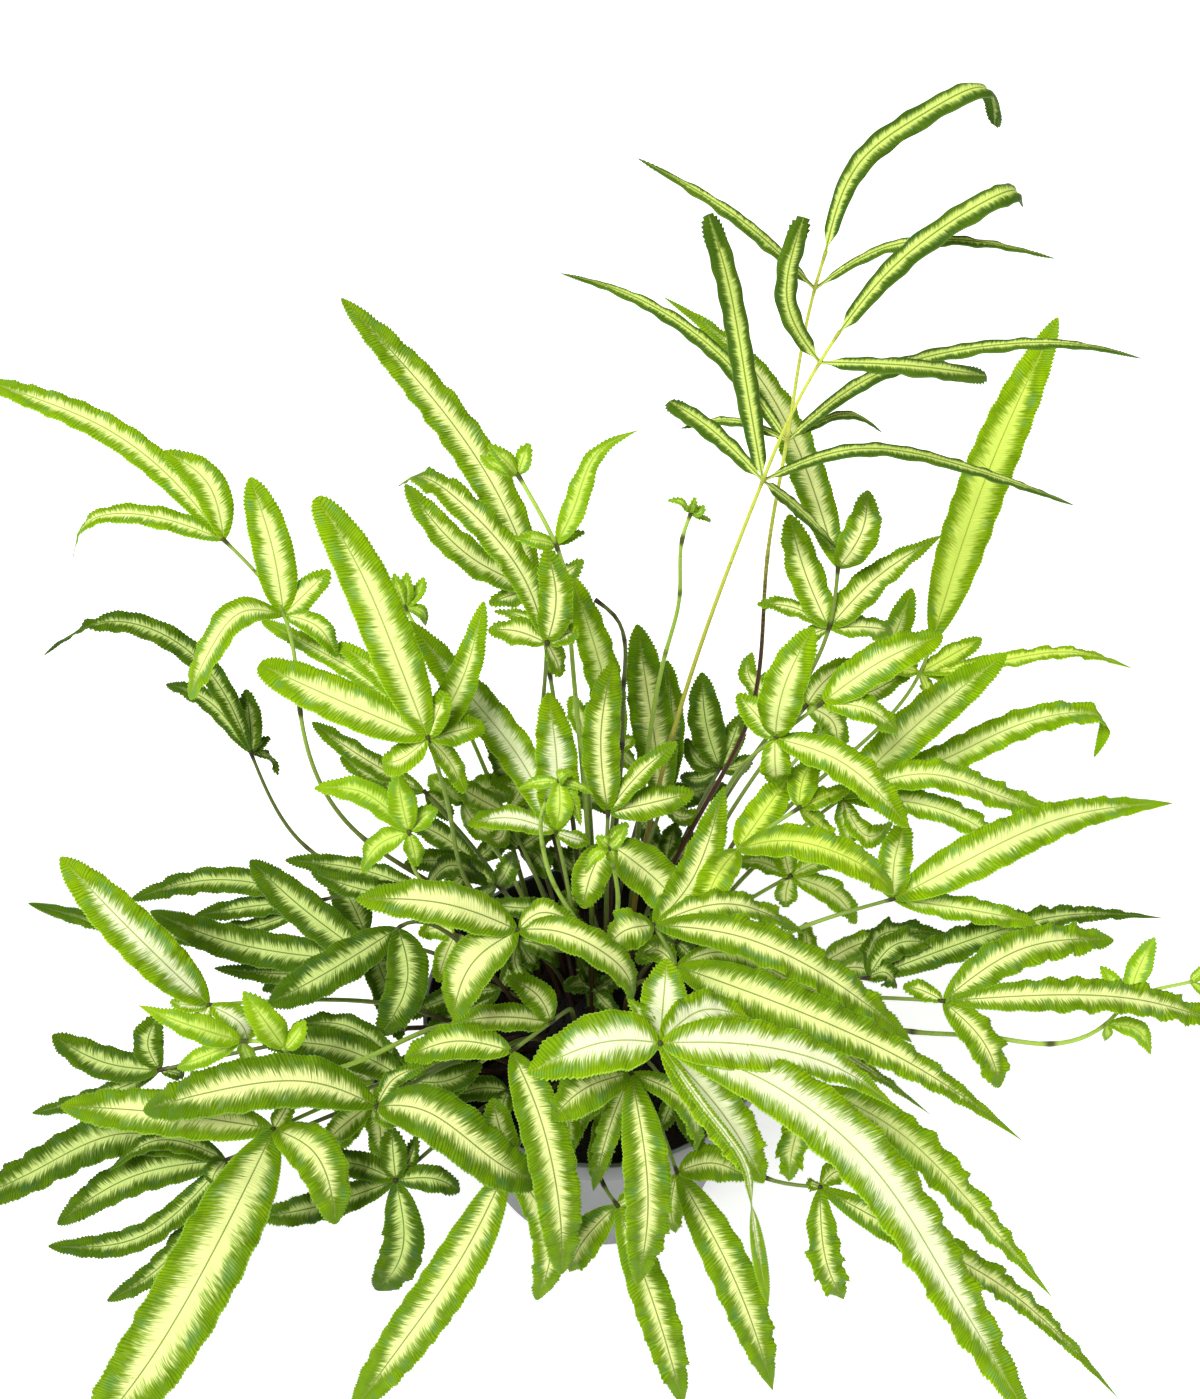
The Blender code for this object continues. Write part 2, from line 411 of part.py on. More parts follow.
        (0, 11, STRAP, (318, 962, 130), (262, 990, 116))]),
    ("under_front_left", "green", [(376, 1082, 112)], [
        (0, 14, STRAP, (352, 1114, 110), (336, 1150, 98)),
        (0, 11, OVATE, (412, 1068, 116), (440, 1060, 116)),
        (0, 10, OVATE, (350, 1066, 112), (320, 1062, 108))]),
    ("back_low_a", "dark", [(640, 812, 132)], [
        (0, 11, STRAP, (604, 800, 130), (566, 798, 122)),
        (0, 12, STRAP, (684, 795, 134), (728, 786, 126)),
        (0, 9, OVATE, (652, 838, 128), (668, 862, 124))]),
    ("back_low_b", "dark", [(475, 862, 128)], [
        (0, 11, STRAP, (445, 838, 130), (412, 822, 126)),
        (0, 10, OVATE, (498, 842, 132), (520, 826, 132)),
        (0, 9, OVATE, (456, 884, 124), (436, 900, 118))]),
]


def sight_line(x, y):
    """The direction from the eye through the picture point x, y."""
    return EYE_REACH * AHEAD + (x - EYE_MIDDLE[0]) * ACROSS - (y - EYE_MIDDLE[1]) * ABOVE


def unit(vectors):
    return vectors / np.maximum(np.linalg.norm(vectors, axis=-1, keepdims=True), 1e-9)


def soil_height(radius):
    """The soil's top: a low mound."""
    return SOIL_TOP + SOIL_MOUND * (1 - (np.asarray(radius) / SOIL_RADIUS) ** 2)


def spline_weights(knots, at):
    """A natural cubic spline through values at the knots, as a matrix: read at `at`."""
    count, at = len(knots), np.asarray(at, float)
    if count == 2:
        share = (at - knots[0]) / (knots[1] - knots[0])
        return np.stack((1 - share, share), axis=1)
    gap = np.diff(knots)
    left, right = np.zeros((count, count)), np.zeros((count, count))
    left[0, 0] = left[-1, -1] = 1.0
    for i in range(1, count - 1):
        left[i, i - 1:i + 2] = gap[i - 1], 2 * (gap[i - 1] + gap[i]), gap[i]
        right[i, i - 1:i + 2] = 6 / gap[i - 1], -6 / gap[i - 1] - 6 / gap[i], 6 / gap[i]
    bend = np.linalg.solve(left, right)
    i = np.clip(np.searchsorted(knots, at) - 1, 0, count - 2)
    before, after = (knots[i + 1] - at) / gap[i], (at - knots[i]) / gap[i]
    weights = (((before ** 3 - before) * gap[i] ** 2 / 6)[:, None] * bend[i]
               + ((after ** 3 - after) * gap[i] ** 2 / 6)[:, None] * bend[i + 1])
    rows = np.arange(len(at))
    weights[rows, i] += before
    weights[rows, i + 1] += after
    return weights


def blade_width(at, kind):
    """How wide a blade is at `at`, 0 at its root to 1 at its tip, as a share of its greatest width."""
    peak, rise, fall, power = kind
    root = 1 - (1 - np.clip(at / peak, 0, 1)) ** rise
    tip = (1 - np.clip((at - peak) / (1 - peak), 0, 1) ** fall) ** power
    return np.where(at < peak, root, tip)


def frond_feet(leans):
    """Where the stalks leave the soil: under their fronds, drawn in to the pot and spread apart."""
    reach = np.linalg.norm(leans, axis=1, keepdims=True)
    start = leans / np.maximum(reach, 1e-6) * np.clip(reach * 0.36, 0.004, 0.046) + (0.0, 0.004)
    feet = start.copy()
    for _ in range(400):
        for i in range(len(feet)):
            away = feet[i] - feet
            space = np.linalg.norm(away, axis=1)
            space[i] = 1.0
            near = space < FOOT_SPACING
            push = (FOOT_SPACING - space[near]) / np.maximum(space[near], 1e-6)
            feet[i] += 0.25 * (push[:, None] * away[near]).sum(axis=0)
        feet += (start - feet) * 0.01
        reach = np.linalg.norm(feet, axis=1, keepdims=True)
        feet = np.where(reach > FOOT_REACH, feet / reach * FOOT_REACH, feet)
    return feet


class Layout:
    """Where each stalk and leaflet lies. Each is a strip: a smooth line through control points that can
    move only to and from the eye, so that the picture keeps, and a width across it."""

    def __init__(self, fronds):
        self.lines_of_sight, self.reach, self.held = [], [], []
        self.strips = []                        # (frond, kind or None for a stalk, width, control points)
        lowest = [min(frond[2], key=lambda point: point[2]) for frond in fronds]
        self.feet = frond_feet(np.array([self.seen(*point)[:2] for point in lowest]))
        for number, (_, _, stalk, leaflets) in enumerate(fronds):
            x, y = self.feet[number]
            foot = np.array((x, y, float(soil_height(math.hypot(x, y))) + 0.0015))
            points = [self.add(foot, held=True)]
            first = self.seen(*stalk[0])
            if np.linalg.norm(first - foot) > 0.035:    # rises steeply, then arches out
                points.append(self.add(foot + (first - foot) * (0.38, 0.38, 0.60)))
            joints = [self.add(self.seen(*point)) for point in stalk]
            self.strips.append((number, None, STALK_WIDTH, points + joints))
            for joint, width, kind, *way in leaflets:
                points = [joints[joint]] + [self.add(self.seen(*point)) for point in way]
                self.strips.append((number, kind, width / 1000, points))
        self.lines_of_sight = np.array(self.lines_of_sight)
        self.reach, self.held = np.array(self.reach), np.array(self.held)
        self.frond = np.array([strip[0] for strip in self.strips])
        self.is_stalk = np.array([strip[1] is None for strip in self.strips])
        self.half_width = np.array([strip[2] for strip in self.strips]) / 2
        most = max(len(strip[3]) for strip in self.strips)
        self.index = np.array([strip[3] + [strip[3][0]] * (most - len(strip[3])) for strip in self.strips])
        self.third = np.array([strip[3][min(2, len(strip[3]) - 1)] for strip in self.strips])
        spot = self.spots()
        self.knots = []
        for strip in self.strips:
            run = np.linalg.norm(np.diff(spot[strip[3]], axis=0), axis=1)
            self.knots.append(np.concatenate(((0.0,), np.cumsum(run))) / run.sum())

    def seen(self, x, y, height):
        """The point at a height in millimetres that the eye sees at x, y."""
        line = sight_line(x, y)
        return EYE + line * ((height / 1000 - EYE[2]) / line[2])

    def add(self, spot, held=False):
        away = spot - EYE
        depth = away @ AHEAD
        self.lines_of_sight.append(away / depth * EYE_REACH)
        self.reach.append(depth / EYE_REACH)
        self.held.append(held)
        return len(self.reach) - 1

    def spots(self):
        return EYE + self.lines_of_sight * self.reach[:, None]

    def weights(self, at):
        """Each strip's weights on its control points at `at`: strips x places x points."""
        table = np.zeros((len(self.strips), len(at), self.index.shape[1]))
        for row, (strip, knots) in enumerate(zip(self.strips, self.knots)):
            table[row, :, :len(strip[3])] = spline_weights(knots, at)
        return table

    def sampling(self, at):
        """What `lines` needs to read the strips at `at`, which doesn't change while they move."""
        at = np.asarray(at, float)
        slope = self.weights(np.minimum(at + 1e-3, 1)) - self.weights(np.maximum(at - 1e-3, 0))
        share = np.array([np.ones(len(at)) if strip[1] is None else blade_width(at, strip[1])
                          for strip in self.strips])
        return self.weights(at), slope, share * self.half_width[:, None]

    def lines(self, sampling):
        """Each strip's middle line with its side, face and forward directions."""
        spot = self.spots()
        corners = spot[self.index]
        middle, forward = sampling[0] @ corners, unit(sampling[1] @ corners)
        chord = unit(spot[self.third] - corners[:, 0])
        side = np.cross(chord, FACING)
        upright = np.linalg.norm(side, axis=1) < 0.2
        side[upright] = np.cross(forward[upright].mean(axis=1), (0.0, -1.0, 0.2))
        side = unit(side)[:, None, :]
        side = unit(side - (forward * side).sum(axis=-1, keepdims=True) * forward)
        return middle, side, np.cross(side, forward), forward

    def surface(self, sampling, across):
        """Points over every strip: strips x places along x places across, -1 to 1."""
        middle, side, face, _ = self.lines(sampling)
        out = sampling[2][:, :, None, None] * np.asarray(across)[:, None]
        return (middle[:, :, None] + out * side[:, :, None]
                + BLADE_FOLD * np.abs(out) * face[:, :, None])

    def picture(self, points):
        away = points - EYE
        depth = away @ AHEAD
        return (EYE_MIDDLE[0] + EYE_REACH * (away @ ACROSS) / depth,
                EYE_MIDDLE[1] - EYE_REACH * (away @ ABOVE) / depth, depth)

    def meetings(self, sampling, across):
        """Where the eye sees one strip over another: both strips, the place along each, the depths."""
        x, y, depth = self.picture(self.surface(sampling, across))
        cell = (np.floor((y + 500) / SAMPLE_CELL) * 2000 + np.floor((x + 500) / SAMPLE_CELL)).astype(np.int64)
        count = len(self.strips)
        strip = np.broadcast_to(np.arange(count)[:, None, None], cell.shape)
        place = np.broadcast_to(np.arange(cell.shape[1])[None, :, None], cell.shape)
        both, back = np.unique(cell.ravel() * count + strip.ravel(), return_inverse=True)
        many = np.bincount(back.ravel())
        depth = np.bincount(back.ravel(), depth.ravel()) / many
        place = np.rint(np.bincount(back.ravel(), place.ravel()) / many).astype(int)
        cell, strip = both // count, (both % count).astype(int)
        first, second = [], []
        for step in range(1, 14):
            here = np.nonzero(cell[:-step] == cell[step:])[0]
            there = here + step
            apart = self.frond[strip[here]] != self.frond[strip[there]]
            sibling = (~apart & ~self.is_stalk[strip[here]] & ~self.is_stalk[strip[there]]
                       & (np.minimum(place[here], place[there]) > 0.36 * SAMPLES_ALONG))
            first.append(here[apart | sibling])
            second.append(there[apart | sibling])
        a, b = np.concatenate(first), np.concatenate(second)
        return strip[a], strip[b], place[a], place[b], depth[b] - depth[a]

    def settle(self, rounds=SETTLE_ROUNDS):
        """Bends fronds to and from the eye until none crosses another. The heights in the table say which
        of two is in front. They stay off the pot, and over the surface that it stands on."""
        across = np.linspace(-1, 1, SAMPLES_ACROSS)
        sampling = self.sampling(np.linspace(0, 1, SAMPLES_ALONG))
        typed, free, size = self.reach.copy(), 1.0 * ~self.held, len(self.reach)
        order = {}
        for _ in range(rounds):
            one, two, at_one, at_two, behind = self.meetings(sampling, across)
            pair, back = np.unique(one * len(self.strips) + two, return_inverse=True)
            back = back.ravel()
            usual = np.bincount(back, behind) / np.bincount(back)
            front = np.array([order.setdefault(int(key), 1.0 if far >= 0 else -1.0)
                              for key, far in zip(pair, usual)])[back]
            need = np.where(self.is_stalk[one] | self.is_stalk[two], STALK_SHARE, 1.0) * CLEARANCE
            need[self.frond[one] == self.frond[two]] = SIBLING_SHARE * CLEARANCE
            short = need - front * behind
            bad = short > 0
            one, two, at_one, at_two = one[bad], two[bad], at_one[bad], at_two[bad]
            short, front = short[bad], front[bad]
            pull = (sampling[0][one, at_one], sampling[0][two, at_two])
            loose = (free[self.index[one]], free[self.index[two]])
            stiff = sum((p ** 2 * l).sum(axis=1) for p, l in zip(pull, loose)) + 1e-9
            step = (front * np.minimum(short, 0.01) / stiff / EYE_REACH)[:, None]
            spot = np.concatenate((self.index[one].ravel(), self.index[two].ravel()))
            move = np.concatenate(((-step * pull[0] * loose[0]).ravel(), (step * pull[1] * loose[1]).ravel()))
            hits = np.abs(np.concatenate((pull[0].ravel(), pull[1].ravel())))
            self.reach += (1.3 * np.bincount(spot, move, size)
                           / np.maximum(np.bincount(spot, hits, size), 1))
            self.keep_off_pot(sampling, across, free)
            self.reach += (typed - self.reach) * 0.004
            self.reach = np.where(self.held, typed, self.reach)
            self.state = (one, two, short)
        return self

    def keep_off_pot(self, sampling, across, free):
        """Lifts what is under LOWEST, and leaflets and stalks that come close to the pot's wall or rim."""
        points = self.surface(sampling, across)
        height, reach = points[..., 2], np.linalg.norm(points[..., :2], axis=-1)
        stalk = self.is_stalk[:, None, None]
        over_pot = ~stalk & (height < RIM_HEIGHT + 0.012) & (reach < RIM_RADIUS + 0.008)
        on_rim = (stalk & (height < RIM_HEIGHT + 0.0035) & (reach > RIM_RADIUS - 0.0115)
                  & (reach < RIM_RADIUS + 0.008))
        lift = np.clip(LOWEST - height, 0, None)
        lift += np.where(over_pot, np.clip(RIM_HEIGHT + 0.012 - height, 0, 0.01), 0)
        lift = np.maximum(lift, np.where(on_rim, 0.004, 0)).max(axis=2)[..., None]
        spot = np.broadcast_to(self.index[:, None, :], sampling[0].shape).ravel()
        size = len(self.reach)
        move = np.bincount(spot, (-1.5 * lift * sampling[0] / EYE_REACH).ravel(), size)
        hits = np.bincount(spot, (np.abs(sampling[0]) * (lift > 0)).ravel(), size)
        self.reach += free * move / np.maximum(hits, 1)


def clear_scene():
    for item in list(bpy.data.objects):
        bpy.data.objects.remove(item, do_unlink=True)
    for group in list(bpy.data.collections):
        bpy.data.collections.remove(group)


def collection(name):
    group = bpy.data.collections.new(name)
    bpy.context.scene.collection.children.link(group)
    return group


def material(look):
    """The material of a look in LOOKS, made once."""
    found = bpy.data.materials.get(look)
    if found:
        return found
    colour, roughness, metallic = LOOKS[look]
    made = bpy.data.materials.new(look)
    made.use_nodes = True
    shader = made.node_tree.nodes["Principled BSDF"]
    shader.inputs["Base Color"].default_value = (*colour, 1.0)
    shader.inputs["Roughness"].default_value = roughness
    shader.inputs["Metallic"].default_value = metallic
    made.diffuse_color = (*colour, 1.0)
    return made


def add_object(name, mesh, group, look=None):
    item = bpy.data.objects.new(name, mesh)
    group.objects.link(item)
    if look:
        mesh.materials.clear()
        mesh.materials.append(material(look))
    return item


def turned(name, profile, group, look=None):
    """A shape turned round Z from (radius, height) pairs that run down its outer side."""
    mesh = bpy.data.meshes.new(name)
    bm = bmesh.new()
    points = [bm.verts.new((radius, 0.0, height)) for radius, height in profile]
    for above, below in zip(points, points[1:]):
        bm.edges.new((above, below))
    bm.to_mesh(mesh)
    bm.free()
    item = add_object(name, mesh, group, look)
    screw = item.modifiers.new("Turn", "SCREW")
    screw.steps = screw.render_steps = ROUND_SIDES
    screw.use_merge_vertices = True
    screw.merge_threshold = 0.00001
    return item


def evaluated_mesh(item):
    """The mesh of an object with its modifiers applied, with what they need up to date."""
    bpy.context.view_layer.update()
    graph = bpy.context.evaluated_depsgraph_get()
    return bpy.data.meshes.new_from_object(item.evaluated_get(graph))


def wall_radius(height):
    """The outer radius of the pot's wall, under the rim's band."""
    top = RIM_HEIGHT - RIM_BAND
    return BASE_RADIUS + (RIM_RADIUS - RIM_STEP - BASE_RADIUS) * height / top


def make_pot(group):
    band = RIM_HEIGHT - RIM_BAND
    profile = [
        (0.0, FLOOR),
        (wall_radius(FLOOR) - WALL, FLOOR),
        (wall_radius(band) - WALL, band),
        (RIM_RADIUS - 2 * EASE, RIM_HEIGHT),
        (RIM_RADIUS - EASE / 2, RIM_HEIGHT),
        (RIM_RADIUS, RIM_HEIGHT - EASE),
        (RIM_RADIUS - EASE / 2, band),
        (wall_radius(band), band - EASE / 2),
        (wall_radius(EASE), EASE),
        (BASE_RADIUS - EASE, 0.0),
        (0.0, 0.0),
    ]
    pot = turned("pot", profile, group, "pot")
    pot.data.shade_smooth()
    return pot


def make_soil(group, cutters, feet):
    """The soil fills the pot to a low mound and has a plain hole for each stalk."""
    low = FLOOR + FIT
    rings = [(radius, float(soil_height(radius))) for radius in (0.0, SOIL_RADIUS)]
    profile = rings + [(wall_radius(low) - WALL - FIT, low), (0.0, low)]
    plain = turned("soil_plain", profile, cutters)
    mesh = bpy.data.meshes.new("holes")
    bm = bmesh.new()
    for x, y in feet:
        top = float(soil_height(math.hypot(x, y)))
        bmesh.ops.create_cone(bm, cap_ends=True, segments=HOLE_SIDES, radius1=HOLE_RADIUS,
                              radius2=HOLE_RADIUS, depth=2 * HOLE_DEPTH,
                              matrix=Matrix.Translation((x, y, top)))
    bm.to_mesh(mesh)
    bm.free()
    holes = add_object("holes", mesh, cutters)
    cut = plain.modifiers.new("Holes", "BOOLEAN")
    cut.operation, cut.object, cut.solver = "DIFFERENCE", holes, "EXACT"
    soil = add_object("potting_soil", evaluated_mesh(plain), group, "soil")
    for item in (plain, holes):
        bpy.data.objects.remove(item, do_unlink=True)
    return soil


def stalk_mesh(layout, row):
    """The stalk of a frond: a tube from the bottom of its hole through all its joints."""
    points, knots = layout.strips[row][3], layout.knots[row]
    span = np.linalg.norm(np.diff(layout.spots()[points], axis=0), axis=1)
    at = [0.0]
    for start, end, run in zip(knots, knots[1:], span):
        pieces = max(1, math.ceil(run / STALK_RUN))
        at += [start + (end - start) * (i + 1) / pieces for i in range(pieces)]
    middle = spline_weights(knots, at) @ layout.spots()[points]
    foot = middle[0]
    bottom = foot - (0.0, 0.0, 0.0015 + HOLE_DEPTH - FIT)
    end = middle[-1] + unit(middle[-1] - middle[-2]) * STALK_OVER
    path = [bottom, *middle[:-1], end]
    curve = bpy.data.curves.new("stalk", "CURVE")
    curve.dimensions = "3D"
    curve.bevel_depth, curve.bevel_resolution, curve.use_fill_caps = STALK_RADIUS, 0, True
    spline = curve.splines.new("POLY")
    spline.points.add(len(path) - 1)
    for i, (spot, point) in enumerate(zip(path, spline.points)):
        point.co = (*spot, 1.0)
        point.radius = 1.0 + (STALK_TIP_RADIUS / STALK_RADIUS - 1.0) * i / (len(path) - 1)
    item = bpy.data.objects.new("stalk", curve)
    bpy.context.scene.collection.objects.link(item)
    mesh = evaluated_mesh(item)
    bpy.data.objects.remove(item, do_unlink=True)
    bm = bmesh.new()
    bm.from_mesh(mesh)
    bmesh.ops.remove_doubles(bm, verts=bm.verts, dist=0.00001)
    bmesh.ops.recalc_face_normals(bm, faces=bm.faces)
    bm.to_mesh(mesh)
    bm.free()
    return mesh


def blade_object(layout, row, group):
    """One leaflet: a grid laid along its strip, drawn to a point at both ends and given its thickness."""
    run = np.linalg.norm(np.diff(layout.spots()[layout.strips[row][3]], axis=0), axis=1).sum()
    rows = next(at for longest, at in BLADE_ROWS if run <= longest)
    across = (-1.0, 1.0) if run < FLAT_BELOW else (-1.0, 0.0, 1.0)
    points = blade_points(layout, row, np.array(rows), np.array(across))
    bm = bmesh.new()
    bmesh.ops.create_grid(bm, x_segments=len(across) - 1, y_segments=len(rows) - 1, size=1.0)
    for vert in bm.verts:
        i = round((vert.co.y + 1) / 2 * (len(rows) - 1))
        j = round((vert.co.x + 1) / 2 * (len(across) - 1))
        vert.co = points[i, j]
    bmesh.ops.remove_doubles(bm, verts=bm.verts, dist=0.00001)
    bmesh.ops.triangulate(bm, faces=bm.faces)
    mesh = bpy.data.meshes.new("leaflet")
    bm.to_mesh(mesh)
    bm.free()
    item = add_object("leaflet", mesh, group)
    thick = item.modifiers.new("Thickness", "SOLIDIFY")
    thick.thickness, thick.offset = BLADE_THICKNESS, 0.0
    return item


def blade_points(layout, row, at, across):
    """Points of one leaflet, rows along it by columns across it."""
    middle, side, face, forward = (part[row] for part in layout.lines(layout.sampling(at)))
    out = (blade_width(at, layout.strips[row][1]) * layout.half_width[row])[:, None, None] * across[:, None]
    middle = middle.copy()
    middle[0] -= forward[0] * BLADE_TAIL
    return middle[:, None] + out * side[:, None] + BLADE_FOLD * np.abs(out) * face[:, None]


def bodies(bm):
    """The sets of faces that hang together by their edges."""
    left, found = set(bm.faces), []
    while left:
        body, border = set(), [left.pop()]
        while border:
            face = border.pop()
            body.add(face)
            near = [other for edge in face.edges for other in edge.link_faces if other in left]
            left.difference_update(near)
            border += near
        found.append(body)
    return found


def closed(bm):
    """Whether a mesh is one closed body."""
    return all(edge.is_manifold for edge in bm.edges) and len(bodies(bm)) == 1


def split_faces(bm):
    """Splits all faces into triangles. A diagonal that two faces share would be one edge of four
    triangles, so one of the two is split from its middle."""
    trial = bm.copy()
    bmesh.ops.triangulate(trial, faces=trial.faces)
    shared = [{vert.index for vert in edge.verts} for edge in trial.edges if len(edge.link_faces) > 2]
    trial.free()
    middle = []
    for pair in shared:
        sharing = [face for face in bm.faces if len(face.verts) > 3
                   and pair <= {vert.index for vert in face.verts}]
        middle += sharing[1:] or sharing
    bmesh.ops.poke(bm, faces=list(dict.fromkeys(middle)), center_mode="MEAN_WEIGHTED")
    bmesh.ops.triangulate(bm, faces=bm.faces)


def crosses_itself(bm):
    """Whether triangles that share no corner meet."""
    corners = [{vert.index for vert in face.verts} for face in bm.faces]
    tree = BVHTree.FromBMesh(bm)
    return any(one < two and not corners[one] & corners[two] for one, two in tree.overlap(tree))


def tidied(mesh):
    """A mesh in triangles and without its shortest edges, as far as it stays closed; else None."""
    for shortest in SHORTEST_EDGES:
        bm = bmesh.new()
        bm.from_mesh(mesh)
        if shortest:
            bmesh.ops.dissolve_degenerate(bm, edges=bm.edges, dist=shortest)
        scraps = sorted(bodies(bm), key=len)[:-1]
        bmesh.ops.delete(bm, geom=[face for body in scraps for face in body if len(body) < SCRAP_FACES],
                         context="FACES")
        bm.verts.index_update()
        split_faces(bm)
        bm.verts.index_update()
        bm.faces.index_update()
        found = closed(bm) and not crosses_itself(bm)
        if found:
            bm.to_mesh(mesh)
        bm.free()
        if found:
            return mesh
    return None


def make_frond(name, look, stalk, blades, group):
    """Fuses the leaflets of a frond to its stalk."""
    whole = add_object("stalk", stalk, group)
    mesh = stalk
    if blades.objects:
        union = whole.modifiers.new("Leaflets", "BOOLEAN")
        union.operation, union.operand_type, union.collection = "UNION", "COLLECTION", blades
        for solver in ("EXACT", "MANIFOLD"):
            union.solver = solver
            mesh = tidied(evaluated_mesh(whole))
            if mesh:
                break
    for item in (whole, *blades.objects):
        bpy.data.objects.remove(item, do_unlink=True)
    return add_object("frond_" + name, mesh, group, look)


def main():
    clear_scene()
    parts, cutters, blades = collection("potted_brake_fern"), collection("cutters"), collection("blades")
    layout = Layout(FRONDS).settle()
    make_pot(parts)
    make_soil(parts, cutters, layout.feet)
    for number, (name, look, _, _) in enumerate(FRONDS):
        rows = np.nonzero(layout.frond == number)[0]
        for row in rows[1:]:
            blade_object(layout, row, blades)
        make_frond(name, look, stalk_mesh(layout, rows[0]), blades, parts)
    for spare in (cutters, blades):
        bpy.data.collections.remove(spare)


main()
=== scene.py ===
import functools
import math
import random

import bmesh
import bpy
import numpy as np
from mathutils import Matrix, Vector, noise


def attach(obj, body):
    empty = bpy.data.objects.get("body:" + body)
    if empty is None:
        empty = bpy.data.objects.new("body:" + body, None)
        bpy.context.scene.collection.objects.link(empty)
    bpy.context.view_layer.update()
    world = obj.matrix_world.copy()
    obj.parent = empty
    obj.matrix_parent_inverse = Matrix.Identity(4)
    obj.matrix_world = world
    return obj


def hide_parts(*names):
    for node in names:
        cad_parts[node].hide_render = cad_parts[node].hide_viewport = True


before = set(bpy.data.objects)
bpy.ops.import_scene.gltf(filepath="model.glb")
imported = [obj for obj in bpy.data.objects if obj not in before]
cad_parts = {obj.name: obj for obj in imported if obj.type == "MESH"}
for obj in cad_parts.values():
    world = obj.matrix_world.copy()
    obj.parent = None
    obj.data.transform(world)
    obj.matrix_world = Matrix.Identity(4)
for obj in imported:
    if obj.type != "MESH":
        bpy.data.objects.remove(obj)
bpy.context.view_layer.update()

bl_info = {
    "name": "Potted Brake Fern",
    "version": (1, 0, 0),
    "blender": (4, 5, 0),
    "location": "View3D > Sidebar > Fern",
    "description": "Dresses a potted brake fern: pleated, toothed leaflets, stalks, pot and peat",
    "category": "Object",
}

# The pot and its peat, in metres, as the solids have them.
RIM_RADIUS = 0.070
RIM_HEIGHT = 0.110
RIM_BAND = 0.0115                               # height of the band round the rim
RIM_STEP = 0.0024                               # how far the band stands out from the wall
BASE_RADIUS = 0.050
WALL = 0.0018
FLOOR = 0.003
FIT = 0.0003                                    # gap between touching pieces
SOIL_TOP = 0.100
SOIL_MOUND = 0.003
SOIL_RADIUS = 0.0645
HOLE_DEPTH = 0.026                              # how deep a stalk stands in the peat
LOWEST = 0.010                                  # no leaflet hangs lower than this

# Kinds of leaflet: where it is widest, how fast it widens, how late it narrows, how blunt its tip is.
STRAP = (0.42, 2.6, 2.4, 0.75)
SPEAR = (0.30, 2.4, 1.5, 1.0)
OVATE = (0.45, 2.2, 2.0, 0.8)
RIBBON = (0.35, 2.4, 2.6, 0.8)

